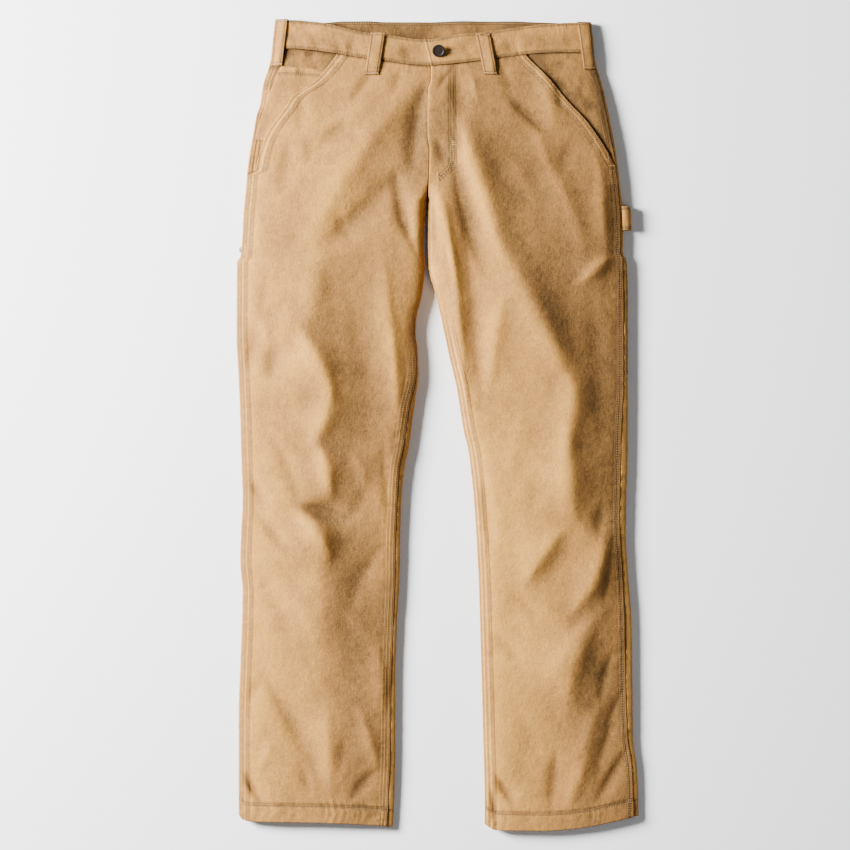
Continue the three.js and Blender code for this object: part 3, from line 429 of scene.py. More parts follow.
def relief_wear_and_shade(leg, x, y):
    """Over 0 on ridges, which wash pale, and under 0 in hollows, which is painted shade."""
    height = top_height(leg, x, y)
    found = 0
    for reach, weight in WEAR_SHADE_REACHES:
        around = sum(top_height(leg, x + dx * reach, y + dy * reach) for dx, dy in AROUND)
        found = found + weight * (height - around / 4)
    near = np.minimum(leg.sign * (leg.side(y) - x), 40) / 40
    return np.clip(found * smooth(near * 2.2), -0.6, 0.8)


def mesh_object(name, points, faces, attributes=None):
    """One mesh object from points in mm and faces of 3 or 4 corners."""
    mesh = bpy.data.meshes.new(name)
    faces = np.asarray(faces, np.int32)
    corners = faces.shape[1]
    mesh.vertices.add(len(points))
    mesh.vertices.foreach_set("co", (np.asarray(points, float) * MM).astype(np.float32).ravel())
    mesh.loops.add(faces.size)
    mesh.loops.foreach_set("vertex_index", faces.ravel())
    mesh.polygons.add(len(faces))
    mesh.polygons.foreach_set("loop_start", np.arange(0, faces.size, corners, dtype=np.int32))
    mesh.update(calc_edges=True)
    mesh.polygons.foreach_set("use_smooth", np.full(len(faces), True))
    for key, values in (attributes or {}).items():
        layer = mesh.attributes.new(key, "FLOAT", "POINT")
        layer.data.foreach_set("value", np.asarray(values, np.float32).ravel())
    mesh.validate()
    piece = bpy.data.objects.new(name, mesh)
    bpy.context.scene.collection.objects.link(piece)
    return piece


def wall_piece(name, outer, inner, attributes=None):
    """A closed wall of cloth between two matching nets."""
    rows, columns = outer.shape[:2]
    half = rows * columns
    index = np.arange(half).reshape(rows, columns)
    a, b, c, d = index[:-1, :-1], index[1:, :-1], index[1:, 1:], index[:-1, 1:]
    top = np.stack([a, b, c, d], -1).reshape(-1, 4)
    low = np.stack([a, d, c, b], -1).reshape(-1, 4) + half
    rim = np.concatenate([index[0, :], index[1:, -1], index[-1, -2::-1], index[-2:0:-1, 0]])
    after = np.roll(rim, -1)
    sides = np.stack([rim, after, after + half, rim + half], -1)
    faces = np.concatenate([top, low, sides])
    points = np.concatenate([outer.reshape(-1, 3), inner.reshape(-1, 3)])
    a, b, c, d = (points[faces[:, corner]] for corner in range(4))
    volume = np.einsum("ij,ij->i", a, np.cross(b - a, c - a) + np.cross(c - a, d - a)).sum()
    if volume < 0:
        faces = faces[:, ::-1]
    both = {key: np.tile(values.ravel(), 2) for key, values in (attributes or {}).items()}
    return mesh_object(name, points, faces, both)


def puckers(along, distance, pitch, reach, seed, lean=0.0):
    """Uneven ripples that a line of stitching draws up, dying out away from it."""
    phase = along / pitch + 1.3 * noise1(along / (2.6 * pitch), seed) + lean * distance / pitch
    strength = 0.45 + 0.75 * noise1(along / (1.9 * pitch), seed + 5)
    uneven = 0.6 * np.sin(2 * np.pi * phase) + 0.8 * noise1(1.7 * phase + 11.3, seed + 8)
    return uneven * np.maximum(strength, 0.08) * np.exp(-(distance / reach) ** 2)


def step_down(distance, border, soft):
    return 1 - smooth((distance - border) / soft)


def groove(distance, rows, half=1.1):
    return sum(np.exp(-((distance - row) / half) ** 2) for row in rows)


# Rows of stitching, in mm in from the outline, or from the felled seam where it says so
SIDE_ROWS_R = (3.2, 6.6, 11.4)
INNER_ROWS_L = (1.8, 6.8, 12.2)
SIDE_ROWS_L = (4.4, 7.0)
INNER_ROWS_R = (1.8, 6.0, 10.5)
SIDE_STRIP_R = 13.2
INNER_STRIP_L = 14.0
SIDE_STRIP_L = 8.6
INNER_STRIP_R = 12.4
HEM_BAND = 24
# The hem's row of stitching, in from the band's upper border
HEM_ROW = 2.4
# Where the cloth's wear and painted light and shade level off, so that its grain still shows
WEAR_SHADING_LIMIT = 1.3
POCKET_ROWS = (2.2, 7.6)
STRIP_HEIGHT = 0.7
INNER_STRIP_TOP_L = 125
INNER_STRIP_TOP_R = 62
# Double stitching of the fly, in photo pixels
FLY_INNER_ROW = [
    (449.6, 67), (449.6, 110), (449.8, 148), (450.6, 159), (448.6, 168), (444, 173), (439.7, 176.6)]
FLY_OUTER_ROW = [
    (454.4, 67), (454.6, 110), (455.0, 150), (455.5, 159), (453.6, 168), (447.6, 174.7), (439.7, 180.6)]


def polyline_distance(x, y, line):
    """Shortest distance from each point to a line of places in mm."""
    best = np.full(np.shape(x), 1e9)
    for (ax, ay), (bx, by) in zip(line[:-1], line[1:]):
        dx, dy = bx - ax, by - ay
        t = np.clip(((x - ax) * dx + (y - ay) * dy) / (dx * dx + dy * dy), 0, 1)
        best = np.minimum(best, np.hypot(x - ax - t * dx, y - ay - t * dy))
    return best


def px_line(line):
    xs, ys = px([p[0] for p in line], [p[1] for p in line])
    return list(zip(xs, ys))


FLY_LINES = [px_line(FLY_INNER_ROW), px_line(FLY_OUTER_ROW)]


def leg_distances(leg, x, y):
    """Distances in mm to the lines that the panels are sewn along."""
    side = leg.sign * (leg.side(y) - x) - (leg.side_seam(y) if not leg.right else 0)
    inner = leg.sign * (x - leg.inner(y)) - (leg.inner_seam(y) if leg.right else 0)
    return {"side": side, "inner": inner, "waist": waist_line(SEAM_Y, x) - y, "hem": y - leg.hem(x)}


def panel_detail(leg, x, y, pocket_edge=None):
    """Height over the folds that seams, hems and stitching give, in mm, and the shade of the grooves."""
    far = leg_distances(leg, x, y)
    apart = smooth((CROTCH_TOP_Y - y) / (CROTCH_TOP_Y - CROTCH_Y))
    side_rows = SIDE_ROWS_R if leg.right else SIDE_ROWS_L
    side_border = SIDE_STRIP_R if leg.right else SIDE_STRIP_L
    inner_rows = INNER_ROWS_R if leg.right else INNER_ROWS_L
    inner_border = INNER_STRIP_R if leg.right else INNER_STRIP_L
    inner_top = INNER_STRIP_TOP_R if leg.right else INNER_STRIP_TOP_L
    seed = 3 if leg.right else 11
    rise = STRIP_HEIGHT * step_down(far["side"], side_border, 1.6)
    # The grooves' darkness is painted shade along the stitching rows and the seam borders
    sewn = groove(far["side"], side_rows) + 0.6 * groove(far["side"], (0, side_border + 1), 0.9)
    shown = smooth((inner_top + 40 - y) / 55) * apart
    rise = rise + STRIP_HEIGHT * step_down(far["inner"], inner_border, 1.6) * shown
    inner_sewn_shade = groove(far["inner"], inner_rows) + 0.6 * groove(far["inner"], (0, inner_border + 1), 0.9)
    sewn = sewn + inner_sewn_shade * shown
    side_mid, inner_mid = side_border * 0.55, inner_border * 0.55
    ripple = 0.34 * puckers(y, np.abs(far["side"] - side_mid), 10.5, 11, seed, 0.35)
    ripple = ripple + 0.2 * puckers(y, np.abs(far["side"] - side_border), 6.3, 7, seed + 9, -0.3)
    ripple = ripple + 0.36 * puckers(y, np.abs(far["inner"] - inner_mid), 11.5, 11, seed + 20, 0.35) * shown
    ripple = ripple + 0.2 * puckers(y, np.abs(far["inner"] - inner_border), 6.8, 7, seed + 28, -0.3) * shown
    waist = far["waist"]
    ripple = ripple + 0.42 * puckers(x, np.maximum(waist, 0), 12.5, 15, seed + 40, 0.2)
    ripple = ripple + 0.2 * puckers(x, np.maximum(waist, 0), 6.4, 6, seed + 44, 0.0)
    hem = far["hem"]
    rise = rise + 0.55 * step_down(hem, HEM_BAND - 1.2, 1.8)
    sewn = sewn + groove(hem, (HEM_BAND - HEM_ROW,)) + 0.5 * groove(hem, (HEM_BAND + 0.6,), 1.2)
    sewn = sewn + 0.8 * groove(waist, (0,), 1.3)
    hem_wave = puckers(x, np.abs(hem - HEM_BAND * 0.6), 12.2, 15, seed + 50, 0.45)
    ripple = ripple + 0.62 * hem_wave + 0.3 * puckers(x, np.abs(hem - HEM_BAND), 6.2, 6, seed + 55, 0.2)
    if pocket_edge is not None:
        rise = rise + 0.7 * step_down(pocket_edge, 9, 1.8)
        sewn = sewn + groove(pocket_edge, POCKET_ROWS) + 0.5 * groove(pocket_edge, (10.2,), 1.0)
        ripple = ripple + 0.55 * puckers(y, np.abs(pocket_edge - 4.8), 7.4, 5.5, seed + 60, 0.3)
    if not leg.right:
        for line in FLY_LINES:
            sewn = sewn + np.exp(-(polyline_distance(x, y, line) / 1.2) ** 2)
    return rise + ripple - 0.4 * np.clip(sewn, 0, 1.2), np.clip(sewn, 0, 1)


def row_y(leg, station, x, waist_y):
    up = smooth((station - 350) / (WAIST_Y - 350))
    down = smooth((-380 - station) / (-380 - HEM_Y))
    return station + (waist_y - WAIST_Y) * up + (leg.hem(x) - HEM_Y) * down


def seam_frame(leg, which, y, past):
    """Point and normal of a felled seam, moved `past` it towards the back."""
    inset = leg.side_seam(y) if which == "side" else leg.inner_seam(y)
    rounding = leg.round if which == "side" else section(INNER_ROUND, y)
    outward = leg.sign if which == "side" else -leg.sign
    outline = leg.side(y) if which == "side" else leg.inner(y)
    edge = section(EDGE, y)
    rise = (section(LOFT, y) - edge) * stand(leg, outline - outward * inset, y)
    q = 1 - inset / rounding
    slope = rise * q / (rounding * np.sqrt(1 - q * q))
    size = np.hypot(1, slope)
    zero = np.zeros_like(slope)
    tangent = np.stack([outward / size, zero, -slope / size], -1)
    normal = np.stack([outward * slope / size, zero, 1 / size], -1)
    point = np.stack([outline - outward * inset, y, edge + rise * arch(inset, rounding)], -1)
    return point + past * tangent, normal


def front_stations(leg):
    top = np.arange(WAIST_Y, 466, -1.6)
    upper = np.linspace(top[-1], leg.pocket_end, 50)
    lower = np.linspace(leg.pocket_next, -504, 320)
    low = np.arange(-505.25, HEM_Y - 0.1, -1.25)
    return np.concatenate([top[:-1], upper, lower, low])


def front_outer(leg, stations):
    """The panel's outer edge: the pocket mouth, then a short run out to the side seam."""
    seam_x = leg.side(stations) - leg.sign * leg.side_seam(stations)
    run = np.clip((leg.pocket_end - stations) / (leg.pocket_end - leg.pocket_next), 0, 1)
    return lerp(leg.pocket(np.maximum(stations, leg.pocket_end)), seam_x, run)


EDGE_STEPS = np.array([0, 0.55, 1.2, 2.3, 3.4, 4.5, 5.6, 6.7, 7.8, 8.9, 10, 11.2, 12.4, 13.8, 15.4])
MIDDLE_COLUMNS = 76
# Distance from the slanted pocket mouth for each mm across
MOUTH_SLANT = 0.72


def front_piece(leg):
    stations = front_stations(leg)
    cut = stations > leg.pocket_next
    apart = parted(stations)
    outer = front_outer(leg, stations)
    calm = np.stack([front_outer(leg, stations + step) for step in np.linspace(-30, 30, 31)]).mean(0)
    inner = leg.inner(stations) + leg.sign * leg.inner_seam(stations) * apart
    way = np.sign(inner - outer)[:, None]
    share = np.linspace(0, 1, MIDDLE_COLUMNS + 2)[None, 1:-1]
    start = outer[:, None] + way * EDGE_STEPS[-1]
    calm_start = calm[:, None] + way * EDGE_STEPS[-1]
    stop = inner[:, None] - way * EDGE_STEPS[-1]
    middle = lerp(calm_start, stop, share) + (start - calm_start) * (1 - smooth(share / 0.4))
    from_outer = outer[:, None] + way * EDGE_STEPS
    to_inner = inner[:, None] - way * EDGE_STEPS[::-1]
    x = np.concatenate([from_outer, middle, to_inner], 1)
    y = row_y(leg, stations[:, None], x, waist_line(SEAM_Y, x))
    points = np.stack([x, y, top_height(leg, x, y)], -1)
    normals = grid_normals(points, 1)
    seam, seam_normal = seam_frame(leg, "side", y[:, 0], -SEAM_GAP / 2)
    points[~cut, 0], normals[~cut, 0] = seam[~cut], seam_normal[~cut]
    seam, seam_normal = seam_frame(leg, "inner", y[:, -1], -SEAM_GAP / 2)
    full = apart >= 1
    points[full, -1], normals[full, -1] = seam[full], seam_normal[full]
    closing = smooth((leg.pocket_end - stations) / 5.0)[:, None]
    from_mouth = np.abs(x - outer[:, None]) * MOUTH_SLANT + 30 * closing
    dip, sewn = panel_detail(leg, x, y, from_mouth)
    edge_columns = np.minimum(np.arange(x.shape[1]), np.arange(x.shape[1])[::-1])
    dip = dip - np.where(edge_columns == 0, 0.4, np.where(edge_columns == 1, 0.12, 0))[None, :]
    lift = layer_lift(leg, x, y)
    thick = np.where(stations < HEM_WALL_Y, HEM_CLOTH, CLOTH)[:, None, None]
    outer_net = points + normals * (dip + lift)[..., None]
    inner_net = points + normals * (lift[..., None] - thick)
    # Painted shade in hollows and grooves, pale worn ridges, and the broad painted light and shade
    wear = relief_wear_and_shade(leg, x, y) + 0.5 * dip + painted_shading(leg, x, y)
    # Darker over the hem band, painted shade of its creases; paler at the pocket mouth from wear
    wear = wear - 0.3 * step_down(y - leg.hem(x), HEM_BAND, 4) + 0.32 * step_down(from_mouth, 8.6, 2)
    # The left fly's folded edge paler, from wear and a painted highlight where it faces the light
    if not leg.right:
        wear = wear + 0.7 * np.exp(-(np.abs(x - inner[:, None]) / 2.6) ** 2) * (y > CROTCH_TOP_Y)
    wear = WEAR_SHADING_LIMIT * np.tanh(wear / WEAR_SHADING_LIMIT)
    piece = wall_piece("cloth_front_" + leg.name, outer_net, inner_net, {"sewn": sewn, "wear": wear})
    return piece, Net(outer_net, normals), stations


def fly_raise(x, y):
    across = 1 - smooth((x - FLY_FULL_X) / FLY_FADE)
    return FLY_OUT * across * smooth((y - 326) / 18)


def layer_lift(leg, x, y):
    return np.zeros_like(x) if leg.right else fly_raise(x, y)


def back_waist(x):
    return lerp(494.5, 490, np.clip((np.asarray(x, float) + 218) / 426, 0, 1))


def back_wrap(leg, which, stations, steps, angles):
    """Net of the back panel's turned edge, from the felled seam to where the cloth lies flat."""
    outward = leg.sign if which == "side" else -leg.sign
    first = leg.side(stations) if which == "side" else leg.inner(stations)
    y = row_y(leg, stations, first, back_waist(first))[:, None]
    rounding = leg.round if which == "side" else section(INNER_ROUND, y)
    inset = leg.side_seam(y) if which == "side" else leg.inner_seam(y)
    outline = leg.side(y) if which == "side" else leg.inner(y)
    edge = section(EDGE, y)
    apart = parted(stations)[:, None] if which == "inner" else np.ones_like(y)
    distance = inset * steps[None, :]
    order = np.arange(len(steps))[None, :]
    top_x = outline - outward * (distance * apart + 0.03 * order * (1 - apart))
    rise = (section(LOFT, y) - edge) * stand(leg, outline - outward * distance, y)
    top_z = (edge + rise * arch(distance, rounding)) * apart
    turn = np.radians(angles)[None, :]
    spread = 0.03 * len(steps) * (1 - apart)
    low_x = outline - outward * (UNDER_ROUND * (1 - np.cos(turn)) + spread)
    low_z = edge * (1 - np.sin(turn)) * apart
    x = np.concatenate([top_x, low_x], 1)
    z = np.concatenate([top_z, low_z], 1)
    points = np.stack([x, np.broadcast_to(y, x.shape), z], -1)
    seam, seam_normal = seam_frame(leg, which, y[:, 0], SEAM_GAP / 2)
    full = apart[:, 0] >= 1
    points[full, 0] = seam[full]
    return points, seam_normal


WRAP_STEPS = np.array([1, 0.84, 0.66, 0.48, 0.32, 0.18, 0.08, 0.02])
WRAP_ANGLES = np.array([0, 8, 18, 29, 41, 53, 65, 78, 90])
BACK_FLAT_COLUMNS = 46
BACK_ROW_STEP = 3.9
# Column of the turned edge where the utility patch begins
PATCH_COLUMN = len(WRAP_STEPS) - 3
PATCHES = {"R": (217, -54), "L": (217, 64)}
PATCH_IN = 40
PATCH_RAMP = 6
PATCH_COLUMN_STEP = 1.9


def back_net(leg):
    stations = np.concatenate([
        np.arange(WAIST_Y, 222, -4.2), np.linspace(221, 213, 6), np.arange(210, -500, -BACK_ROW_STEP),
        np.linspace(-503, HEM_Y, 20)])
    side, side_normal = back_wrap(leg, "side", stations, WRAP_STEPS, WRAP_ANGLES)
    inner, inner_normal = back_wrap(leg, "inner", stations, WRAP_STEPS, WRAP_ANGLES)
    inner = inner[:, ::-1]
    share = np.linspace(0, 1, BACK_FLAT_COLUMNS + 2)[None, 1:-1]
    x = lerp(side[:, -1:, 0], inner[:, :1, 0], share)
    y = row_y(leg, stations[:, None], x, back_waist(x))
    ends = np.minimum(share, 1 - share) / 0.12
    lift = sum(fold_height(fold, x, y) for fold in BACK_FOLDS)
    lift = lift + 0.22 * np.maximum(0, noise2(x / 30, y / 42, 7) - 0.15)
    z = np.maximum(0, lift) * smooth(ends) * smooth((y - leg.hem(x)) / 20)
    flat = np.stack([x, y, z], -1)
    points = np.concatenate([side, flat, inner], 1)
    normals = grid_normals(points, -1)
    whole = parted(stations) >= 1
    normals[:, 0] = side_normal
    normals[whole, -1] = inner_normal[whole]
    return stations, points, normals


def back_piece(leg):
    stations, points, normals = back_net(leg)
    first, last = PATCHES[leg.name]
    wrap = len(WRAP_STEPS) + len(WRAP_ANGLES)
    flat_start = points[:, wrap - 1, 0][:, None]
    inward = leg.sign * (flat_start - points[..., 0])
    columns = np.arange(points.shape[1])[None, :]
    reach = 1 - smooth((inward - (PATCH_IN - UNDER_ROUND)) / PATCH_RAMP)
    beside = ((stations <= first + 0.5) & (stations >= last - 0.5))[:, None]
    under = (columns >= PATCH_COLUMN) * reach * beside
    x, y = points[..., 0], points[..., 1]
    hem = y - leg.hem(x)
    sewn = groove(hem, (HEM_BAND - HEM_ROW,))
    on_top = smooth((points[..., 2] - 3) / 3)
    ripple = 0.35 * puckers(y, 0 * y, 10.5, 12, 71, 0) * on_top * (1 - under)
    seat = (y > CROTCH_TOP_Y + 6) * (columns > columns.max() / 2)
    from_seat = leg.sign * (x - leg.inner(y))
    if leg.right:
        sewn = sewn + groove(from_seat, (3.2, 9.5)) * seat
    out = -PATCH_SEAT * under + ripple - 0.25 * np.clip(sewn, 0, 1)
    out = np.where(points[..., 2] < 2, np.minimum(out, 0), out)
    thick = np.where(stations < HEM_WALL_Y, HEM_CLOTH, CLOTH)[:, None, None]
    outer = points + normals * out[..., None]
    inner = points + normals * ((-PATCH_SEAT * under)[..., None] - thick)
    # Paler where the back rises more than 3 mm off the floor; darker in its dips and stitching grooves,
    # painted shade
    wear = out * 0.6 + 0.35 * on_top
    piece = wall_piece("cloth_back_" + leg.name, outer, inner, {"sewn": np.clip(sewn, 0, 1), "wear": wear})
    return piece, Net(outer, normals), stations


def patch_piece(leg):
    stations, points, normals = back_net(leg)
    first, last = PATCHES[leg.name]
    rows = np.where((stations <= first + 0.5) & (stations >= last - 0.5))[0]
    wrap = len(WRAP_STEPS) + len(WRAP_ANGLES)
    turned_part = points[rows[0]:rows[-1] + 1, PATCH_COLUMN:wrap]
    turned_normal = normals[rows[0]:rows[-1] + 1, PATCH_COLUMN:wrap]
    share = np.linspace(0, 1, 14)[None, 1:]
    start = turned_part[:, -1:, 0]
    x = start - leg.sign * (PATCH_IN - UNDER_ROUND) * share
    y = row_y(leg, stations[rows][:, None], x, back_waist(x))
    flat = np.stack([x, y, np.zeros_like(x)], -1)
    flat_normal = np.zeros_like(flat)
    flat_normal[..., 2] = -1
    net = np.concatenate([turned_part, flat], 1)
    net_normal = np.concatenate([turned_normal, flat_normal], 1)
    row_edge = np.minimum(np.arange(len(rows)), np.arange(len(rows))[::-1])[:, None] * BACK_ROW_STEP
    column_edge = np.arange(net.shape[1])[::-1][None, :] * PATCH_COLUMN_STEP
    from_edge = np.minimum(row_edge, column_edge) * np.ones(net.shape[:2])
    sewn = groove(from_edge, (3.6,), 1.4)
    out = -0.25 * np.clip(sewn, 0, 1) - 0.25 * (from_edge < 1)
    outer = net + net_normal * out[..., None]
    inner = net - net_normal * PATCH_CLOTH
    # Painted shade in the stitching groove and along the turned edge
    shades = {"sewn": np.clip(sewn, 0, 1), "wear": out * 0.5}
    piece = wall_piece("cloth_utility_" + leg.name, outer, inner, shades)
    return piece, Net(outer, net_normal)


FACING_SHARES = np.concatenate([np.linspace(0, 0.9, 30), np.linspace(0.92, 1, 4)])
UNDERLAP_SHARES = np.array([0.01, 0.025, 0.045, 0.07])


def facing_net(leg, top, low, from_share):
    end, after = leg.pocket_end, leg.pocket_next
    before = 341 if leg.right else 358
    stations = np.linspace(top, low, int((top - low) / 2.0) + 1)
    bottom = np.clip((before - stations) / (before - end), 0, 1)[:, None]
    side_x = (leg.side(stations) - leg.sign * leg.side_seam(stations))[:, None]
    mouth = leg.pocket(stations)[:, None]
    inner = leg.inner(stations)[:, None]
    shares = FACING_SHARES[FACING_SHARES >= from_share][None, :]
    x = lerp(side_x, mouth, shares)
    drop = bottom * ((1 - shares) * (end - after) - 0.9)
    y = row_y(leg, stations[:, None], x, waist_line(SEAM_Y, x)) - drop
    under_x = lerp(mouth, inner, UNDERLAP_SHARES[None, :])
    under_y = row_y(leg, stations[:, None], under_x, waist_line(SEAM_Y, under_x)) + bottom * 0.9
    x = np.concatenate([x, under_x], 1)
    y = np.concatenate([y, under_y], 1)
    share = np.concatenate([shares, np.full((1, len(UNDERLAP_SHARES)), 1.0)], 1)
    points = np.stack([x, y, top_height(leg, x, y)], -1)
    normals = grid_normals(points, 1)
    if from_share == 0:
        seam, seam_normal = seam_frame(leg, "side", y[:, 0], -SEAM_GAP / 2)
        points[:, 0], normals[:, 0] = seam, seam_normal
    return points, normals, np.broadcast_to(share, x.shape)


def facing_piece(leg):
    points, normals, share = facing_net(leg, WAIST_Y, leg.pocket_end, 0)
    x, y = points[..., 0], points[..., 1]
    sunk = FACING_OUT[leg.name] * smooth(share / 0.8)
    dip, sewn = panel_detail(leg, x, y)
    fold = 0
    if not leg.right:
        (ax, bx), (ay, by) = px([566, 588], [74, 103])
        fold = fold_height((ax, ay, bx, by, 1.5, 6, 4, -1.0), x, y)
    near = 1 - smooth((share - 0.8) / 0.2)
    if leg.right:
        hollow = 1.5 * smooth((y - 466) / 5) * smooth((x + 226) / 10)
    else:
        hollow = 1.0 * smooth((share - 0.35) / 0.6)
    out = sunk + np.minimum(dip * near, 0.9) + fold - 0.35 * hollow
    outer = points + normals * out[..., None]
    inner = points + normals * (sunk - FACING_CLOTH)[..., None]
    fall = 0.5 * noise2(x / 9, y / 14, 51)
    # Painted shade: darker in the hollow and towards the pocket mouth, where the pocket's edge shades the
    # facing
    wear = dip * 0.4 + fall - 0.45 * smooth((share - 0.75) / 0.25) - 0.28 * hollow
    if leg.right:
        # Painted shade on the right facing under the band's edge and towards its side
        wear = wear - 0.5 * smooth((y - 484) / 5) - 0.5 * smooth((-206 - x) / 10) * smooth((y - 466) / 6)
    else:
        # The left facing takes the broad painted light and shade and is darker all over, painted shade
        wear = wear + 0.8 * painted_shading(leg, x, y) - 0.3
    return wall_piece("cloth_facing_" + leg.name, outer, inner, {"sewn": sewn, "wear": wear})


COIN_TOP = 468
COIN_LOW = 374


def coin_piece():
    points, normals, share = facing_net(RIGHT, COIN_TOP, COIN_LOW, 0.2)
    x, y = points[..., 0], points[..., 1]
    base = FACING_OUT["R"] * smooth(share / 0.8) + COIN_CLOTH + SEAM_GAP
    rows = np.arange(x.shape[0])[:, None] * 2.0 * np.ones_like(x)
    sewn = groove(rows, (8.5,), 1.3)
    ripple = 0.45 * puckers(x, np.abs(rows - 4.2), 7.5, 6, 81, 0.2)
    hem = 0.35 * step_down(rows, 9.5, 2) - 0.45 * (rows < 1)
    out = base + hem + np.minimum(ripple, 0.5) - 0.3 * sewn
    outer = points + normals * out[..., None]
    inner = points + normals * (base - COIN_CLOTH)[..., None]
    # Painted shade in the slit along the coin pocket's top edge, towards both ends
    slit_shade = np.exp(-((rows - 1) / 1.6) ** 2) * (smooth((-206 - x) / 6) + smooth((x + 166) / 6))
    wear = ripple * 0.5 + 0.25 * (rows < 4) - 0.9 * slit_shade + 0.3 * noise2(x / 12, y / 16, 52)
    piece = wall_piece("cloth_coin_pocket", outer, inner, {"sewn": sewn, "wear": wear})
    return piece, Net(outer, normals)


LAP_LINE = [(508, -17.8), (473, -9)]
JOIN_R = [(536, -204.5), (492, -209.5)]
JOIN_L = [(536, 193.5), (492, 197.5)]
LAP_REACH = (21, 29, 54, 79)
LAP_HEIGHTS = (3.4, 2.75, 1.5, 0.9)
BAND_RISE = 0.35
# Creases of the waistband, in photo pixels: x0, y0, x1, y1, bow, left and right half width, height mm
BAND_CREASES = [
    (311, 35, 322, 58, 0, 4, 4, -1.1), (331, 44, 345, 60, 1, 4, 3, -1.0), (338, 36, 348, 52, 0, 4, 4, 0.8),
    (354, 36, 348, 62, 0, 4, 4, -0.9), (398, 44, 413, 63, 0, 6, 5, -0.8), (291, 30, 297, 47, 0, 5, 5, -0.7),
    (404, 40, 396, 56, 0, 5, 4, 0.6), (506, 40, 513, 58, 0, 5, 4, -0.7), (540, 36, 547, 54, 0, 5, 5, -0.6),
    (566, 33, 572, 50, 0, 5, 4, -0.6), (464, 45, 472, 62, 0, 4, 4, -0.6), (524, 38, 519, 54, 0, 5, 4, 0.5)]


def band_points(x, v):
    y = lerp(waist_line(SEAM_Y, x) + SEAM_GAP, waist_line(BAND_TOP, x), v)
    z = middle_height(x, y)
    return np.stack([x, y, z], -1)


def band_detail(x, v, from_end):
    """Stitching at both long edges of the band, its ripples and its turned edges."""
    height = waist_line(BAND_TOP, x) - waist_line(SEAM_Y, x)
    low, top = v * height, (1 - v) * height
    sewn = groove(low, (2.4,), 0.9) + groove(top, (2.6,), 0.9)
    if from_end is not None:
        sewn = sewn + groove(from_end, (2.8,), 0.9)
    ripple = 0.34 * puckers(x, low, 8.2, 11, 86, 0.25) + 0.3 * puckers(x, top, 7.4, 11, 91, -0.25)
    broad = 0.35 * noise2(x / 26, low / 16, 12)
    edge = np.minimum(low, top)
    if from_end is not None:
        edge = np.minimum(edge, from_end)
    turned = -0.75 * (1 - np.sqrt(np.clip(edge / 1.6, 0, 1)))
    crown = BAND_RISE * smooth(edge / 7)
    sewn = np.clip(sewn, 0, 1)
    return ripple + broad + turned + crown - 0.35 * sewn, sewn


def band_piece(side):
    v = np.linspace(0, 1, 30)[:, None]
    lap = curve(LAP_LINE, lerp(473, 508, v))
    join = curve(JOIN_R if side == "R" else JOIN_L, lerp(WAIST_Y, 534, v))
    if side == "R":
        x = lerp(join, lap + 21, np.linspace(0, 1, 150)[None, :])
        layer = np.full(x.shape, BAND_OUT)
        from_end = None
    else:
        reach = np.concatenate([[0, 0.5, 1.1, 1.9], np.linspace(2.8, 30, 20)])
        steps = np.linspace(0, 1, 118)[None, 1:]
        x = np.concatenate([lap + reach, lerp(lap + 30, join, steps)], 1)
        layer = np.interp(x - lap, LAP_REACH, LAP_HEIGHTS)
        from_end = x - lap
    points = band_points(x, v)
    normals = grid_normals(points, 1)
    detail, sewn = band_detail(x, v, from_end)
    for row in BAND_CREASES:
        detail = detail + fold_height(px_fold(row), x, points[..., 1])
    outer = points + normals * (layer + detail)[..., None]
    inner = points + normals * (layer - BAND_CLOTH)[..., None]
    # Painted shade in the band's dips and stitching grooves and painted light on its crown
    wear = detail * 0.6 - 0.15 * sewn - 0.22 + 0.25 * noise2(x / 15, v * 3, 21)
    # The left band's lapped edge paler, from wear and a painted highlight where it faces the light
    if side == "L":
        wear = wear + 0.8 * np.exp(-(from_end / 1.6) ** 2)
    piece = wall_piece("cloth_band_front_" + side, outer, inner, {"sewn": sewn, "wear": wear})
    return piece, Net(outer, normals)


BACK_WAVES = [(-150, 22, 1.8), (-92, 26, 2.4), (-28, 24, 2), (36, 30, 2.6), (104, 22, 1.8), (152, 20, 2.2)]


def back_wave(x):
    return sum(height / (1 + ((x - place) / half) ** 2) ** 2 for place, half, height in BACK_WAVES)


def back_band_side(leg, v):
    outline0 = leg.side(np.full_like(v, WAIST_Y))
    top = waist_line(BACK_TOP, leg.side(np.full_like(v, 534)))
    back_y = lerp(back_waist(outline0) + SEAM_GAP, top, v)
    join = curve(JOIN_R if leg.right else JOIN_L, lerp(WAIST_Y, 534, v))
    first = band_points(join, v)
    first_x = join + leg.sign * SEAM_GAP
    outline = leg.side(back_y)
    edge = section(EDGE, back_y)
    share = np.array([0, 0.2, 0.4, 0.58, 0.74, 0.85, 0.93, 0.98])[None, :]
    x = lerp(first_x, outline, share)
    y = lerp(first[..., 1], back_y, np.interp(share, [0, 0.74, 1], [0, 0.6, 1]))
    z = top_height(leg, x, y)
    turn = np.radians(np.array([0, 12, 26, 40, 56, 73, 90]))[None, :]
    low_x = outline - leg.sign * UNDER_ROUND * (1 - np.cos(turn))
    low_z = edge * (1 - np.sin(turn))
    out = np.interp(share, [0, 0.74, 1], [BAND_OUT, BAND_OUT * 0.6, 0])
    points = np.stack([np.concatenate([x, low_x], 1),
                       np.concatenate([y, np.broadcast_to(back_y, low_x.shape)], 1),
                       np.concatenate([z, low_z], 1)], -1)
    outs = np.concatenate([out * np.ones_like(x), np.zeros_like(low_x)], 1)
    return points, outs


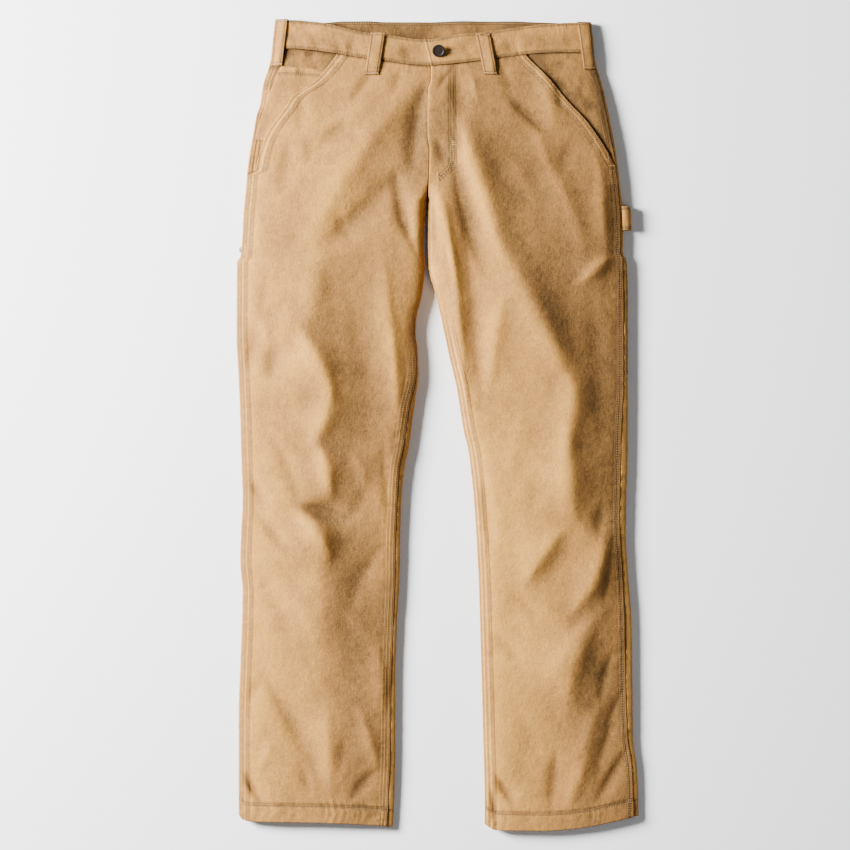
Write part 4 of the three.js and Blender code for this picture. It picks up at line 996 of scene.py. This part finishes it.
def back_band_piece():
    v = np.linspace(0, 1, 26)[:, None]
    right, right_out = back_band_side(RIGHT, v)
    left, left_out = back_band_side(LEFT, v)
    left, left_out = left[:, ::-1], left_out[:, ::-1]
    share = np.linspace(0, 1, 162)[None, 1:-1]
    x = lerp(right[:, -1:, 0], left[:, :1, 0], share)
    y = lerp(back_waist(x) + SEAM_GAP, waist_line(BACK_TOP, x), v)
    z = back_wave(x) * smooth(v * 1.6) + np.zeros_like(y)
    middle = np.stack([x, y, z], -1)
    points = np.concatenate([right, middle, left], 1)
    out = np.concatenate([right_out, np.zeros_like(x), left_out], 1)
    normals = grid_normals(points, -1)
    height = (points[-1:, :, 1] - points[:1, :, 1]) * np.ones_like(v)
    low, top = v * height, (1 - v) * height
    sewn = np.clip(groove(low, (2.4,), 0.9) + groove(top, (2.8,), 0.9), 0, 1)
    across = points[..., 0]
    ripple = 0.3 * puckers(across, top, 8.8, 10, 95, 0.2) + 0.3 * noise2(across / 22, top / 14, 15)
    crown = 0.3 * smooth(np.minimum(low, top) / 6) - 0.5 * (np.minimum(low, top) < 0.8)
    face = ripple + crown - 0.35 * sewn
    resting = points[..., 2] < 2
    under = np.where(resting, np.minimum(face, 0), face)
    outer = points + normals * (out + under)[..., None]
    inner = points + normals * (out - BAND_CLOTH - np.where(resting, face * 0.8, 0))[..., None]
    patchy = 0.45 * noise2(across / 24, top / 15, 17) + 0.25 * noise2(across / 9, top / 9, 18)
    # The band's inside darker all over, painted shade under the front band, with painted shade in its dips
    # and grooves
    wear = face * 0.5 - 0.15 * sewn - 0.85 + patchy
    piece = wall_piece("cloth_band_back", outer, inner, {"sewn": sewn, "wear": wear})
    return piece, Net(inner, -normals)


# name, top left x, top right x, low right x, low left x, top y, low y
LOOPS = [
    ("side_R", -213.2, -196.7, -204.2, -219.6, 534.3, 472.4),
    ("front_R", -87.8, -68.4, -77.2, -95.7, 516.4, 460.2),
    ("front_L", 49.5, 68.8, 78.5, 61.1, 515.4, 460.6),
    ("side_L", 183.5, 202, 207.8, 192.3, 530.6, 467.8)]
# share of the loop's length, clear height under it
LOOP_ROWS = [(0, 1.4), (0.06, 1.5), (0.18, 2.3), (0.4, 2.5), (0.62, 2.4), (0.8, 1.8), (0.92, 0.6), (1, 0.5)]


def loop_piece(row):
    name, top_left, top_right, low_right, low_left, top, low = row
    share = np.linspace(0, 1, 46)[:, None]
    u = np.concatenate([[0, 0.03, 0.08], np.linspace(0.15, 0.85, 10), [0.92, 0.97, 1]])[None, :]
    y = lerp(top, low, share) + 0 * u
    x = lerp(lerp(top_left, top_right, u), lerp(low_left, low_right, u), share)
    at = np.minimum(y, 534)
    base = middle_height(x, at)
    clear = curve(LOOP_ROWS, share)
    points = np.stack([x, y, base + clear], -1)
    normals = grid_normals(points, 1)
    width = lerp(top_right - top_left, low_right - low_left, share)
    from_edge = np.minimum(u, 1 - u) * width
    from_end = np.minimum(share, 1 - share) * (top - low)
    sewn = np.clip(groove(from_edge, (3.0,), 0.9), 0, 1)
    tack = np.exp(-((from_end - 2.6) / 1.5) ** 2)
    turned = -0.7 * (1 - np.sqrt(np.clip(np.minimum(from_edge, from_end) / 1.5, 0, 1)))
    crown = 0.35 * smooth(from_edge / 5) + 0.3 * noise2(x / 11, y / 13, 33)
    ripple = 0.22 * puckers(y, from_edge, 5.6, 6, 34 + int(abs(top_left)) % 7, 0.3)
    face = turned + crown + ripple - 0.35 * sewn - 0.45 * tack
    outer = points + normals * (LOOP_CLOTH + face)[..., None]
    # Painted shade in the grooves, bar tacks and turned edges, and painted light on the crown
    shades = {"sewn": np.clip(sewn + 0.6 * tack, 0, 1), "wear": face * 0.7}
    return wall_piece("cloth_loop_" + name, outer, points, shades), Net(outer, normals)


HAMMER_TOP_Y = 287.8
HAMMER_LOW_Y = 256.1
HAMMER_CLOTH = 1.5
# out from the side seam, up from its height
HAMMER_PATH = [
    (-0.6, 5), (1.8, 5.4), (5, 5.1), (8.6, 3.4), (10.3, 0.6), (10.3, -2), (8.4, -4.6), (5, -5.6),
    (1.5, -5.6), (-1.4, -5.3)]


def hammer_piece():
    path = np.asarray(HAMMER_PATH, float)
    at = np.linspace(0, len(path) - 1, 46)
    rows = list(zip(range(len(path)), path[:, 0], path[:, 1]))
    out, up = curve(rows, at, 1), curve(rows, at, 2)
    run = np.stack([np.gradient(out), np.gradient(up)], -1)
    run /= np.linalg.norm(run, axis=1, keepdims=True)
    v = np.linspace(0, 1, 22)[:, None]
    y = lerp(HAMMER_TOP_Y, HAMMER_LOW_Y, v)
    x0, z0 = LEFT.side(y), section(EDGE, y)
    from_edge = np.minimum(v, 1 - v) * (HAMMER_TOP_Y - HAMMER_LOW_Y)
    sewn = np.clip(groove(from_edge, (3.4,), 1.1), 0, 1) * np.ones((1, len(at)))
    face = (0.25 * smooth(from_edge / 5) - 0.3 * sewn + 0.15 * noise2(at[None, :] * 0.6, y / 9, 37)
            - 0.4 * (from_edge < 0.5))
    nets = []
    normal = np.stack([-run[:, 1], 0 * run[:, 1], run[:, 0]], -1)[None, :, :] * np.ones((len(v), 1, 1))
    for offset in (HAMMER_CLOTH / 2 + face, -HAMMER_CLOTH / 2 + 0 * face):
        x = x0 + out[None, :] - run[None, :, 1] * offset
        z = z0 + up[None, :] + run[None, :, 0] * offset
        nets.append(np.stack([x, y + 0 * x, z], -1))
    # Painted shade in the stitching grooves and turned edges, and painted light on the crown
    piece = wall_piece("cloth_hammer_loop", nets[0], nets[1], {"sewn": sewn, "wear": face * 0.6})
    return piece, Net(nets[0], normal)


def fly_net(parts, low):
    stations = np.linspace(WAIST_Y, low, 62)
    columns = []
    for leg, shares in parts:
        for c in shares:
            cut = stations >= leg.pocket_end
            seam = leg.side(stations) - leg.sign * leg.side_seam(stations)
            outer = np.where(cut, leg.pocket(stations), seam)
            columns.append(lerp(outer, leg.inner(stations), c))
    x = np.stack(columns, 1)
    legs = [leg for leg, shares in parts for _ in shares]
    waist = waist_line(SEAM_Y, x)
    y = np.stack([row_y(leg, stations, x[:, k], waist[:, k]) for k, leg in enumerate(legs)], 1)
    z = np.stack([top_height(leg, x[:, k], y[:, k]) for k, leg in enumerate(legs)], 1)
    points = np.stack([x, y, z], -1)
    return points, grid_normals(points, 1)


def under_fly_pieces():
    under_left = (LEFT, np.linspace(1, 0.92, 9))
    points, normals = fly_net([under_left], 346)
    zip_tape = wall_piece("cloth_fly_tape", points, points - normals)
    points, normals = fly_net([(RIGHT, np.linspace(0.92, 0.965, 5)), under_left], 341)
    top, low = points - SHIELD_DEPTH * normals, points - (SHIELD_DEPTH + CLOTH) * normals
    shield = wall_piece("cloth_fly_shield", top, low)
    return zip_tape, shield


# Rows of stitching below the fly, in photo pixels
CROTCH_ROWS = [
    [(431.5, 190), (430.6, 198), (430.2, 208), (430, 216)],
    [(434.6, 187), (434, 198), (433.6, 212)]]
# Corners of a stitch's eight faces
STITCH_FACES = ((0, 2, 1), (0, 3, 2), (1, 2, 5), (1, 5, 4), (2, 3, 6), (2, 6, 5), (4, 5, 7), (5, 6, 7))
STITCH_PITCH = 3.3
STITCH_LONG = 2.5
STITCH_HALF = 0.36
STITCH_HIGH = 0.34


class Thread:
    """Gathers stitches laid on the cloth, and makes one mesh of them."""

    def __init__(self, name):
        self.name = name
        self.points = []
        self.faces = []

    def row(self, points, normals, pitch=STITCH_PITCH, long=STITCH_LONG, half=STITCH_HALF,
            high=STITCH_HIGH):
        points = np.asarray(points, float)
        normals = np.asarray(normals, float)
        lengths = np.concatenate([[0], np.cumsum(np.linalg.norm(np.diff(points, axis=0), axis=1))])
        count = int(lengths[-1] / pitch)
        for k in range(count):
            start = (k + 0.5) * pitch - long / 2
            places = [start + long * share for share in (0, 0.3, 0.7, 1)]
            self.one(*[self.at(points, normals, lengths, place) for place in places], half, high)

    def at(self, points, normals, lengths, place):
        point = np.array([np.interp(place, lengths, points[:, c]) for c in range(3)])
        normal = np.array([np.interp(place, lengths, normals[:, c]) for c in range(3)])
        return point, normal / np.linalg.norm(normal)

    def one(self, a, b, c, d, half, high):
        run = d[0] - a[0]
        run /= np.linalg.norm(run)
        base = len(self.points)
        self.points.append(a[0] - a[1] * 0.15)
        for point, normal in (b, c):
            side = np.cross(normal, run)
            self.points += [point - side * half, point + normal * high, point + side * half]
        self.points.append(d[0] - d[1] * 0.15)
        self.faces += [(base + p, base + q, base + r) for p, q, r in STITCH_FACES]

    def along(self, net, rows, columns, **looks):
        """A row of stitches over places of a net; a lone number holds all the way."""
        rows, columns = np.broadcast_arrays(rows, columns)
        self.row(*net.sample(rows, columns), **looks)

    def made(self):
        return mesh_object(self.name, self.points, self.faces)


class Net:
    """A panel's outer net, to lay thread on by row and column."""

    def __init__(self, points, normals):
        self.points, self.normals = points, normals

    def sample(self, row, column):
        row = np.clip(row, 0, self.points.shape[0] - 1.001)
        column = np.clip(column, 0, self.points.shape[1] - 1.001)
        i, j = np.floor(row).astype(int), np.floor(column).astype(int)
        s, t = (row - i)[..., None], (column - j)[..., None]
        found = []
        for grid in (self.points, self.normals):
            upper = lerp(grid[i, j], grid[i, j + 1], t)
            lower = lerp(grid[i + 1, j], grid[i + 1, j + 1], t)
            found.append(lerp(upper, lower, s))
        return found

    def locate(self, x, y):
        """Rows and columns of places in the plane."""
        grid_x, grid_y = self.points[..., 0], self.points[..., 1]
        column = np.full(np.shape(x), grid_x.shape[1] / 2)
        row = np.zeros(np.shape(x))
        facing = np.sign(grid_x[0, -1] - grid_x[0, 0])
        for k in range(len(x)):
            for _ in range(4):
                j = int(np.clip(column[k], 0, grid_x.shape[1] - 1))
                row[k] = np.interp(-y[k], -grid_y[:, j], np.arange(grid_y.shape[0]))
                i = int(row[k])
                column[k] = np.interp(x[k] * facing, grid_x[i] * facing, np.arange(grid_x.shape[1]))
        return row, column

    def line(self, x, y):
        return self.sample(*self.locate(np.asarray(x, float), np.asarray(y, float)))


def dense(line, step=1.5):
    """A line of places in mm, resampled in small steps along a smooth curve."""
    line = np.asarray(line, float)
    lengths = np.concatenate([[0], np.cumsum(np.hypot(*np.diff(line, axis=0).T))])
    at = np.linspace(0, lengths[-1], max(3, int(lengths[-1] / step)))
    if len(line) < 3:
        return np.interp(at, lengths, line[:, 0]), np.interp(at, lengths, line[:, 1])
    rows = np.column_stack([lengths, line])
    return curve(rows, at, 1), curve(rows, at, 2)


def panel_thread(leg, net, stations):
    thread = Thread("stitches_panel_" + leg.name)
    side_rows = SIDE_ROWS_R if leg.right else SIDE_ROWS_L
    inner_rows = INNER_ROWS_R if leg.right else INNER_ROWS_L
    count = len(stations)
    steps = np.arange(len(EDGE_STEPS))
    last = net.points.shape[1] - 1
    inset = SIDE_INSET if leg.right else 0
    below = np.searchsorted(-stations, -(leg.pocket_next - 3))
    for distance in side_rows:
        rows = np.arange(below, count - 1)
        column = np.interp(distance - inset, EDGE_STEPS, steps)
        thread.along(net, rows, column)
    top = INNER_STRIP_TOP_R + 30 if leg.right else INNER_STRIP_TOP_L + 25
    inner_inset = 0 if leg.right else SIDE_INSET
    start = np.searchsorted(-stations, -top)
    for distance in inner_rows:
        rows = np.arange(start, count - 1)
        column = last - np.interp(distance - inner_inset, EDGE_STEPS, steps)
        thread.along(net, rows, column)
    hem_row = np.interp(-(HEM_Y + HEM_BAND - HEM_ROW), -stations, np.arange(count))
    columns = np.arange(1, last)
    thread.along(net, hem_row, columns)
    mouth_end = np.searchsorted(-stations, -leg.pocket_end)
    for distance in POCKET_ROWS:
        rows = np.arange(1, mouth_end)
        column = np.interp(distance / MOUTH_SLANT, EDGE_STEPS, steps)
        thread.along(net, rows, column, pitch=2.9, long=2.2)
    return thread


def tack_row(thread, net, start, stop, width, pitch=1.0):
    """A bar tack: short stitches set side by side from start to stop, px."""
    (ax, bx), (ay, by) = px([start[0], stop[0]], [start[1], stop[1]])
    length = math.hypot(bx - ax, by - ay)
    ux, uy = (bx - ax) / length, (by - ay) / length
    for k in range(int(length / pitch)):
        cx, cy = ax + ux * pitch * k, ay + uy * pitch * k
        lean = 0.35 if k % 2 else -0.35
        x = np.array([cx - uy * width / 2 - ux * lean, cx + uy * width / 2 + ux * lean])
        y = np.array([cy + ux * width / 2 - uy * lean, cy - ux * width / 2 + uy * lean])
        points, normals = net.line(np.linspace(x[0], x[1], 4), np.linspace(y[0], y[1], 4))
        thread.row(points, normals, pitch=width, long=width, half=0.45, high=0.5)


THREAD_SCALE = 480


class Shade:
    """Small helper that adds and links shader nodes."""

    def __init__(self, name):
        self.material = bpy.data.materials.new(name)
        self.material.use_nodes = True
        self.tree = self.material.node_tree
        self.shader = self.tree.nodes["Principled BSDF"]
        coordinates = self.tree.nodes.new("ShaderNodeTexCoord")
        self.place = coordinates.outputs["Object"]

    def put(self, socket, value):
        if hasattr(value, "links"):
            self.tree.links.new(value, socket)
        else:
            socket.default_value = value

    def add(self, kind, **values):
        made = self.tree.nodes.new("ShaderNode" + kind)
        for key, value in values.items():
            if hasattr(made, key):
                setattr(made, key, value)
        return made

    def math(self, operation, a, b=0.0, clamp=False):
        made = self.add("Math", operation=operation, use_clamp=clamp)
        self.put(made.inputs[0], a)
        self.put(made.inputs[1], b)
        return made.outputs[0]

    def scaled(self, x, y, z):
        made = self.add("Mapping")
        self.put(made.inputs["Vector"], self.place)
        made.inputs["Scale"].default_value = (x, y, z)
        return made.outputs[0]

    def noise(self, scale, detail=2.0, rough=0.5, vector=None, distortion=0.0):
        made = self.add("TexNoise")
        self.put(made.inputs["Vector"], vector or self.place)
        made.inputs["Scale"].default_value = scale
        made.inputs["Detail"].default_value = detail
        made.inputs["Roughness"].default_value = rough
        made.inputs["Distortion"].default_value = distortion
        return made.outputs[0]

    def threads(self, direction):
        made = self.add("TexWave", wave_type="BANDS", bands_direction=direction)
        self.put(made.inputs["Vector"], self.place)
        made.inputs["Scale"].default_value = THREAD_SCALE
        made.inputs["Distortion"].default_value = 0.6
        return made.outputs["Fac"]

    def attribute(self, name):
        made = self.add("Attribute", attribute_name=name)
        return made.outputs["Fac"]

    def mix(self, factor, a, b):
        made = self.add("Mix", data_type="RGBA")
        self.put(made.inputs[0], factor)
        for socket, value in ((made.inputs[6], a), (made.inputs[7], b)):
            self.put(socket, value)
        return made.outputs[2]

    def bump(self, height, strength, distance, normal=None):
        made = self.add("Bump")
        made.inputs["Strength"].default_value = strength
        made.inputs["Distance"].default_value = distance
        self.put(made.inputs["Height"], height)
        if normal is not None:
            self.put(made.inputs["Normal"], normal)
        return made.outputs[0]


def duck_material(name, painted_shading=1.0):
    """Washed cotton duck: plain weave, upright slub, soft mottling, ridges pale from wear and painted
    light, hollows and seam grooves darkened by painted shade.
    """
    shade = Shade(name)
    broad = shade.noise(9.0, 4.0, 0.55)
    patchy = shade.noise(42.0, 3.0, 0.6)
    mottle = shade.noise(120.0, 3.0, 0.6)
    slub = shade.noise(1.0, 3.0, 0.6, shade.scaled(620, 120, 300))
    weft = shade.noise(1.0, 2.0, 0.5, shade.scaled(60, 680, 300))
    speck = shade.noise(520.0, 2.0, 0.6)
    sewn = shade.attribute("sewn")
    wear = shade.attribute("wear")
    weave = shade.math("MULTIPLY", shade.threads("X"), shade.threads("Y"))
    # Real wear together with painted light and shade from the attribute lightens or darkens the cloth
    light = shade.math("MULTIPLY", wear, 0.85)
    patterns = ((broad, 0.55), (patchy, 0.5), (slub, 0.85), (weft, 0.14), (speck, 1.2), (mottle, 0.5))
    for pattern, amount in patterns:
        around_middle = shade.math("SUBTRACT", pattern, 0.5)
        light = shade.math("ADD", light, shade.math("MULTIPLY", around_middle, amount))
    # Painted shade in the stitching grooves and along the seam lines
    light = shade.math("SUBTRACT", light, shade.math("MULTIPLY", sewn, 1.15))
    share = shade.math("ADD", shade.math("MULTIPLY", light, 0.5), 0.5, True)
    dark = tuple(painted_shading * c for c in DUCK_DARK) + (1,)
    middle = tuple(painted_shading * c for c in DUCK_MIDDLE) + (1,)
    pale = tuple(min(1, painted_shading * c) for c in DUCK_PALE) + (1,)
    lower = shade.mix(shade.math("MULTIPLY", share, 2.0, True), dark, middle)
    upper = shade.math("SUBTRACT", shade.math("MULTIPLY", share, 2.0), 1.0, True)
    shade.put(shade.shader.inputs["Base Color"], shade.mix(upper, lower, pale))
    rough = shade.math("ADD", shade.math("MULTIPLY", patchy, 0.14), 0.74)
    shade.put(shade.shader.inputs["Roughness"], rough)
    shade.shader.inputs["Specular IOR Level"].default_value = 0.14
    shade.shader.inputs["Sheen Weight"].default_value = 0.05
    shade.shader.inputs["Sheen Roughness"].default_value = 0.5
    shade.shader.inputs["Sheen Tint"].default_value = (1.0, 0.76, 0.48, 1)
    small = shade.noise(120.0, 4.0, 0.62, None, 0.4)
    normal = shade.bump(small, 0.45, 0.002)
    normal = shade.bump(slub, 0.3, 0.0004, normal)
    normal = shade.bump(weft, 0.18, 0.0004, normal)
    normal = shade.bump(weave, 0.35, 0.00018, normal)
    shade.put(shade.shader.inputs["Normal"], normal)
    return shade.material


# Ends of the cloth's colour; wear, grain and painted light and shade move it between them
DUCK_DARK = (0.082, 0.0405, 0.0112)
DUCK_MIDDLE = (0.268, 0.1265, 0.0305)
DUCK_PALE = (0.52, 0.256, 0.048)


def thread_material():
    shade = Shade("thread_sand")
    twist = shade.noise(1.0, 2.0, 0.5, shade.scaled(2600, 2600, 2600))
    colour = shade.mix(twist, (0.24, 0.115, 0.032, 1), (0.48, 0.27, 0.09, 1))
    shade.put(shade.shader.inputs["Base Color"], colour)
    shade.shader.inputs["Roughness"].default_value = 0.6
    shade.put(shade.shader.inputs["Normal"], shade.bump(twist, 0.4, 0.0002))
    return shade.material


def metal_material(name, dark, pale, metallic, roughness, gloss):
    shade = Shade(name)
    shade.shader.inputs["Specular IOR Level"].default_value = gloss
    cloudy = shade.noise(420.0, 4.0, 0.6)
    fine = shade.noise(2400.0, 2.0, 0.5)
    shade.put(shade.shader.inputs["Base Color"], shade.mix(cloudy, (*dark, 1), (*pale, 1)))
    shade.shader.inputs["Metallic"].default_value = metallic
    rough = shade.math("ADD", shade.math("MULTIPLY", fine, 0.25), roughness)
    shade.put(shade.shader.inputs["Roughness"], rough)
    shade.put(shade.shader.inputs["Normal"], shade.bump(cloudy, 0.25, 0.0003))
    return shade.material


def plain_material(name, colour, roughness):
    material = bpy.data.materials.new(name)
    material.use_nodes = True
    shader = material.node_tree.nodes["Principled BSDF"]
    shader.inputs["Base Color"].default_value = (*colour, 1)
    shader.inputs["Roughness"].default_value = roughness
    return material


def make_lamp(name, size, energy, place):
    """A round lamp that shines at the middle of the garment."""
    light = bpy.data.lights.new(name, "AREA")
    light.shape = "DISK"
    light.size = size
    light.energy = energy
    lamp = bpy.data.objects.new(name, light)
    lamp.location = place
    lamp.rotation_euler = (-Vector(place)).to_track_quat("-Z", "Y").to_euler()
    bpy.context.scene.collection.objects.link(lamp)


def make_stage():
    mesh = bpy.data.meshes.new("floor")
    half = 6.0
    low = -0.0004
    corners = [(-half, -half, low), (half, -half, low), (half, half, low), (-half, half, low)]
    mesh.from_pydata(corners, [], [(0, 1, 2, 3)])
    floor = bpy.data.objects.new("floor", mesh)
    bpy.context.scene.collection.objects.link(floor)
    floor.data.materials.append(plain_material("floor_pale", (0.86, 0.865, 0.87), 0.9))
    make_lamp("key", 1.2, 660, (-2.45, 0.8, 1.4))
    make_lamp("fill", 2.4, 14, (1.4, -1.0, 2.6))
    world = bpy.context.scene.world or bpy.data.worlds.new("World")
    bpy.context.scene.world = world
    world.use_nodes = True
    background = world.node_tree.nodes["Background"]
    background.inputs["Color"].default_value = (0.95, 0.97, 1.0, 1)
    background.inputs["Strength"].default_value = 0.15


PHOTO_SIZE = 850
SENSOR = 36
CAMERA_HEIGHT = 4.2


def make_camera():
    """Straight above the garment, at the photo's scale and frame."""
    camera = bpy.data.cameras.new("camera")
    camera.sensor_width = SENSOR
    camera.sensor_fit = "HORIZONTAL"
    camera.lens = SENSOR * CAMERA_HEIGHT / (PHOTO_SIZE * PHOTO_MM * MM)
    camera.clip_start = 0.05
    camera.clip_end = 30
    piece = bpy.data.objects.new("camera", camera)
    piece.location = ((PHOTO_SIZE / 2 - PHOTO_X0) * PHOTO_MM * MM, 0, CAMERA_HEIGHT)
    piece.rotation_euler = (0, 0, 0)
    bpy.context.scene.collection.objects.link(piece)
    bpy.context.scene.camera = piece


def give(piece, material, slot, *nodes):
    piece.data.materials.clear()
    piece.data.materials.append(material)
    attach(piece, "root")
    if nodes:
        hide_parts(*nodes)
    return piece


make_stage()
make_camera()
duck = duck_material("duck_washed")
# A darker copy of the duck, painted shade for the band's inside and the pieces under the fly
duck_inside = duck_material("duck_inside", 0.8)
sand_thread = thread_material()
nets = {}
stations = {}
for leg in (RIGHT, LEFT):
    side = leg.name
    piece, nets[side], stations[side] = front_piece(leg)
    give(piece, duck, "duck_cloth", "front_panel_" + side)
    piece, nets["back_" + side], stations["back_" + side] = back_piece(leg)
    give(piece, duck, "duck_cloth", "back_panel_" + side)
    piece, nets["utility_" + side] = patch_piece(leg)
    give(piece, duck, "duck_cloth", "utility_pocket_" + side)
    give(facing_piece(leg), duck, "duck_cloth", "pocket_facing_" + side)
piece, nets["coin"] = coin_piece()
give(piece, duck, "duck_cloth", "coin_pocket_R")
piece, nets["hammer"] = hammer_piece()
give(piece, duck, "duck_cloth", "hammer_loop_L")
for side in ("R", "L"):
    piece, nets["band_" + side] = band_piece(side)
    give(piece, duck, "duck_cloth", "waistband_front_" + side)
piece, nets["band_back"] = back_band_piece()
give(piece, duck_inside, "duck_cloth", "waistband_back")
for row in LOOPS:
    piece, nets["loop_" + row[0]] = loop_piece(row)
    give(piece, duck, "duck_cloth", "belt_loop_" + row[0])
thread = Thread("stitches_bands")
for key, side in (("band_R", RIGHT), ("band_L", LEFT)):
    net = nets[key]
    count = net.points.shape[1]
    height = np.linalg.norm(net.points[-1] - net.points[0], axis=1)
    first = 0 if side.right else 5
    columns = np.arange(first, count)
    for share in (2.4 / height, 1 - 2.6 / height):
        thread.along(net, share[first:] * (net.points.shape[0] - 1), columns)
thread.along(nets["band_L"], np.arange(2, 28), 4.0)
net = nets["band_back"]
columns = np.arange(4, net.points.shape[1] - 4)
for share in (0.06, 0.935):
    thread.along(net, share * 25, columns)
hole = Net(nets["band_L"].points[::-1], nets["band_L"].normals[::-1])
tack_row(thread, hole, (446, 54.2), (458, 52.2), 2.6, 0.9)
threads = {"band_L": give(thread.made(), sand_thread, "duck_cloth")}
thread = Thread("stitches_loops")
for row in LOOPS:
    net = nets["loop_" + row[0]]
    rows = np.arange(2, 45)
    for column in (3.9, 11.1):
        thread.along(net, rows, column, pitch=2.8, long=2.1)
    for place in (1.6, 43.4):
        for k in range(22):
            span = np.array([place - 0.9, place, place + 0.9])
            thread.along(net, span, 1.5 + 12 * k / 21, pitch=2.2, long=2.1, half=0.4, high=0.45)
threads["loop_front_R"] = give(thread.made(), sand_thread, "duck_cloth")
for leg in (RIGHT, LEFT):
    thread = panel_thread(leg, nets[leg.name], stations[leg.name])
    net = nets[leg.name]
    if leg.right:
        tack_row(thread, net, (268.5, 167.4), (259.5, 166.4), 2.0)
        tack_row(thread, net, (246, 245), (246, 257), 3.2)
    else:
        for line in FLY_LINES:
            thread.row(*net.line(*dense(line)), pitch=2.9, long=2.3)
        for line in CROTCH_ROWS:
            thread.row(*net.line(*dense(px_line(line))), pitch=2.9, long=2.3)
        tack_row(thread, net, (437.6, 173.5), (438.2, 184), 3.4)
        tack_row(thread, net, (452.5, 140), (452.5, 148), 5.2)
        tack_row(thread, net, (608, 166.6), (613.5, 166.8), 2.0)
    threads["front_" + leg.name] = give(thread.made(), sand_thread, "duck_cloth")
tape, shield = under_fly_pieces()
give(tape, duck_inside, "closure_tape", "fly_zip")
give(shield, duck_inside, "duck_cloth", "fly_shield")
for leg in (RIGHT, LEFT):
    thread = Thread("stitches_back_" + leg.name)
    net, places = nets["back_" + leg.name], stations["back_" + leg.name]
    columns = np.arange(1, net.points.shape[1] - 1)
    hem_row = np.interp(-(HEM_Y + HEM_BAND - HEM_ROW), -places, np.arange(len(places)))
    thread.along(net, hem_row, columns, high=0.16)
    net = nets["utility_" + leg.name]
    last_row, last_column = net.points.shape[0] - 1, net.points.shape[1] - 1
    across = np.linspace(0, last_column - 2, 40)
    for row in (0.9, last_row - 0.9):
        thread.along(net, row, across, high=0.16)
    down = np.linspace(1, last_row - 1, 120)
    thread.along(net, down, last_column - 1.8, high=0.16)
    threads["back_" + leg.name] = give(thread.made(), sand_thread, "duck_cloth")
thread = Thread("stitches_small")
net = nets["coin"]
columns = np.arange(1, net.points.shape[1] - 4)
thread.along(net, 4.25, columns, pitch=2.8, long=2.2)
net = nets["hammer"]
columns = np.arange(2, net.points.shape[1] - 2)
for row in (2.3, 18.7):
    thread.along(net, row, columns, pitch=2.8, long=2.2)
threads["hammer"] = give(thread.made(), sand_thread, "duck_cloth")
# node, material, dark colour, pale colour, metallic, roughness, gloss
METALS = [
    ("button", "button_dark", (0.004, 0.003, 0.002), (0.02, 0.013, 0.009), 0, 0.4, 0.16),
    ("rivet_R", "rivet_dark", (0.02, 0.013, 0.009), (0.09, 0.06, 0.04), 0.8, 0.3, 0.5)]
for key, *look in METALS:
    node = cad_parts[key]
    node.data.materials.clear()
    node.data.materials.append(metal_material(*look))
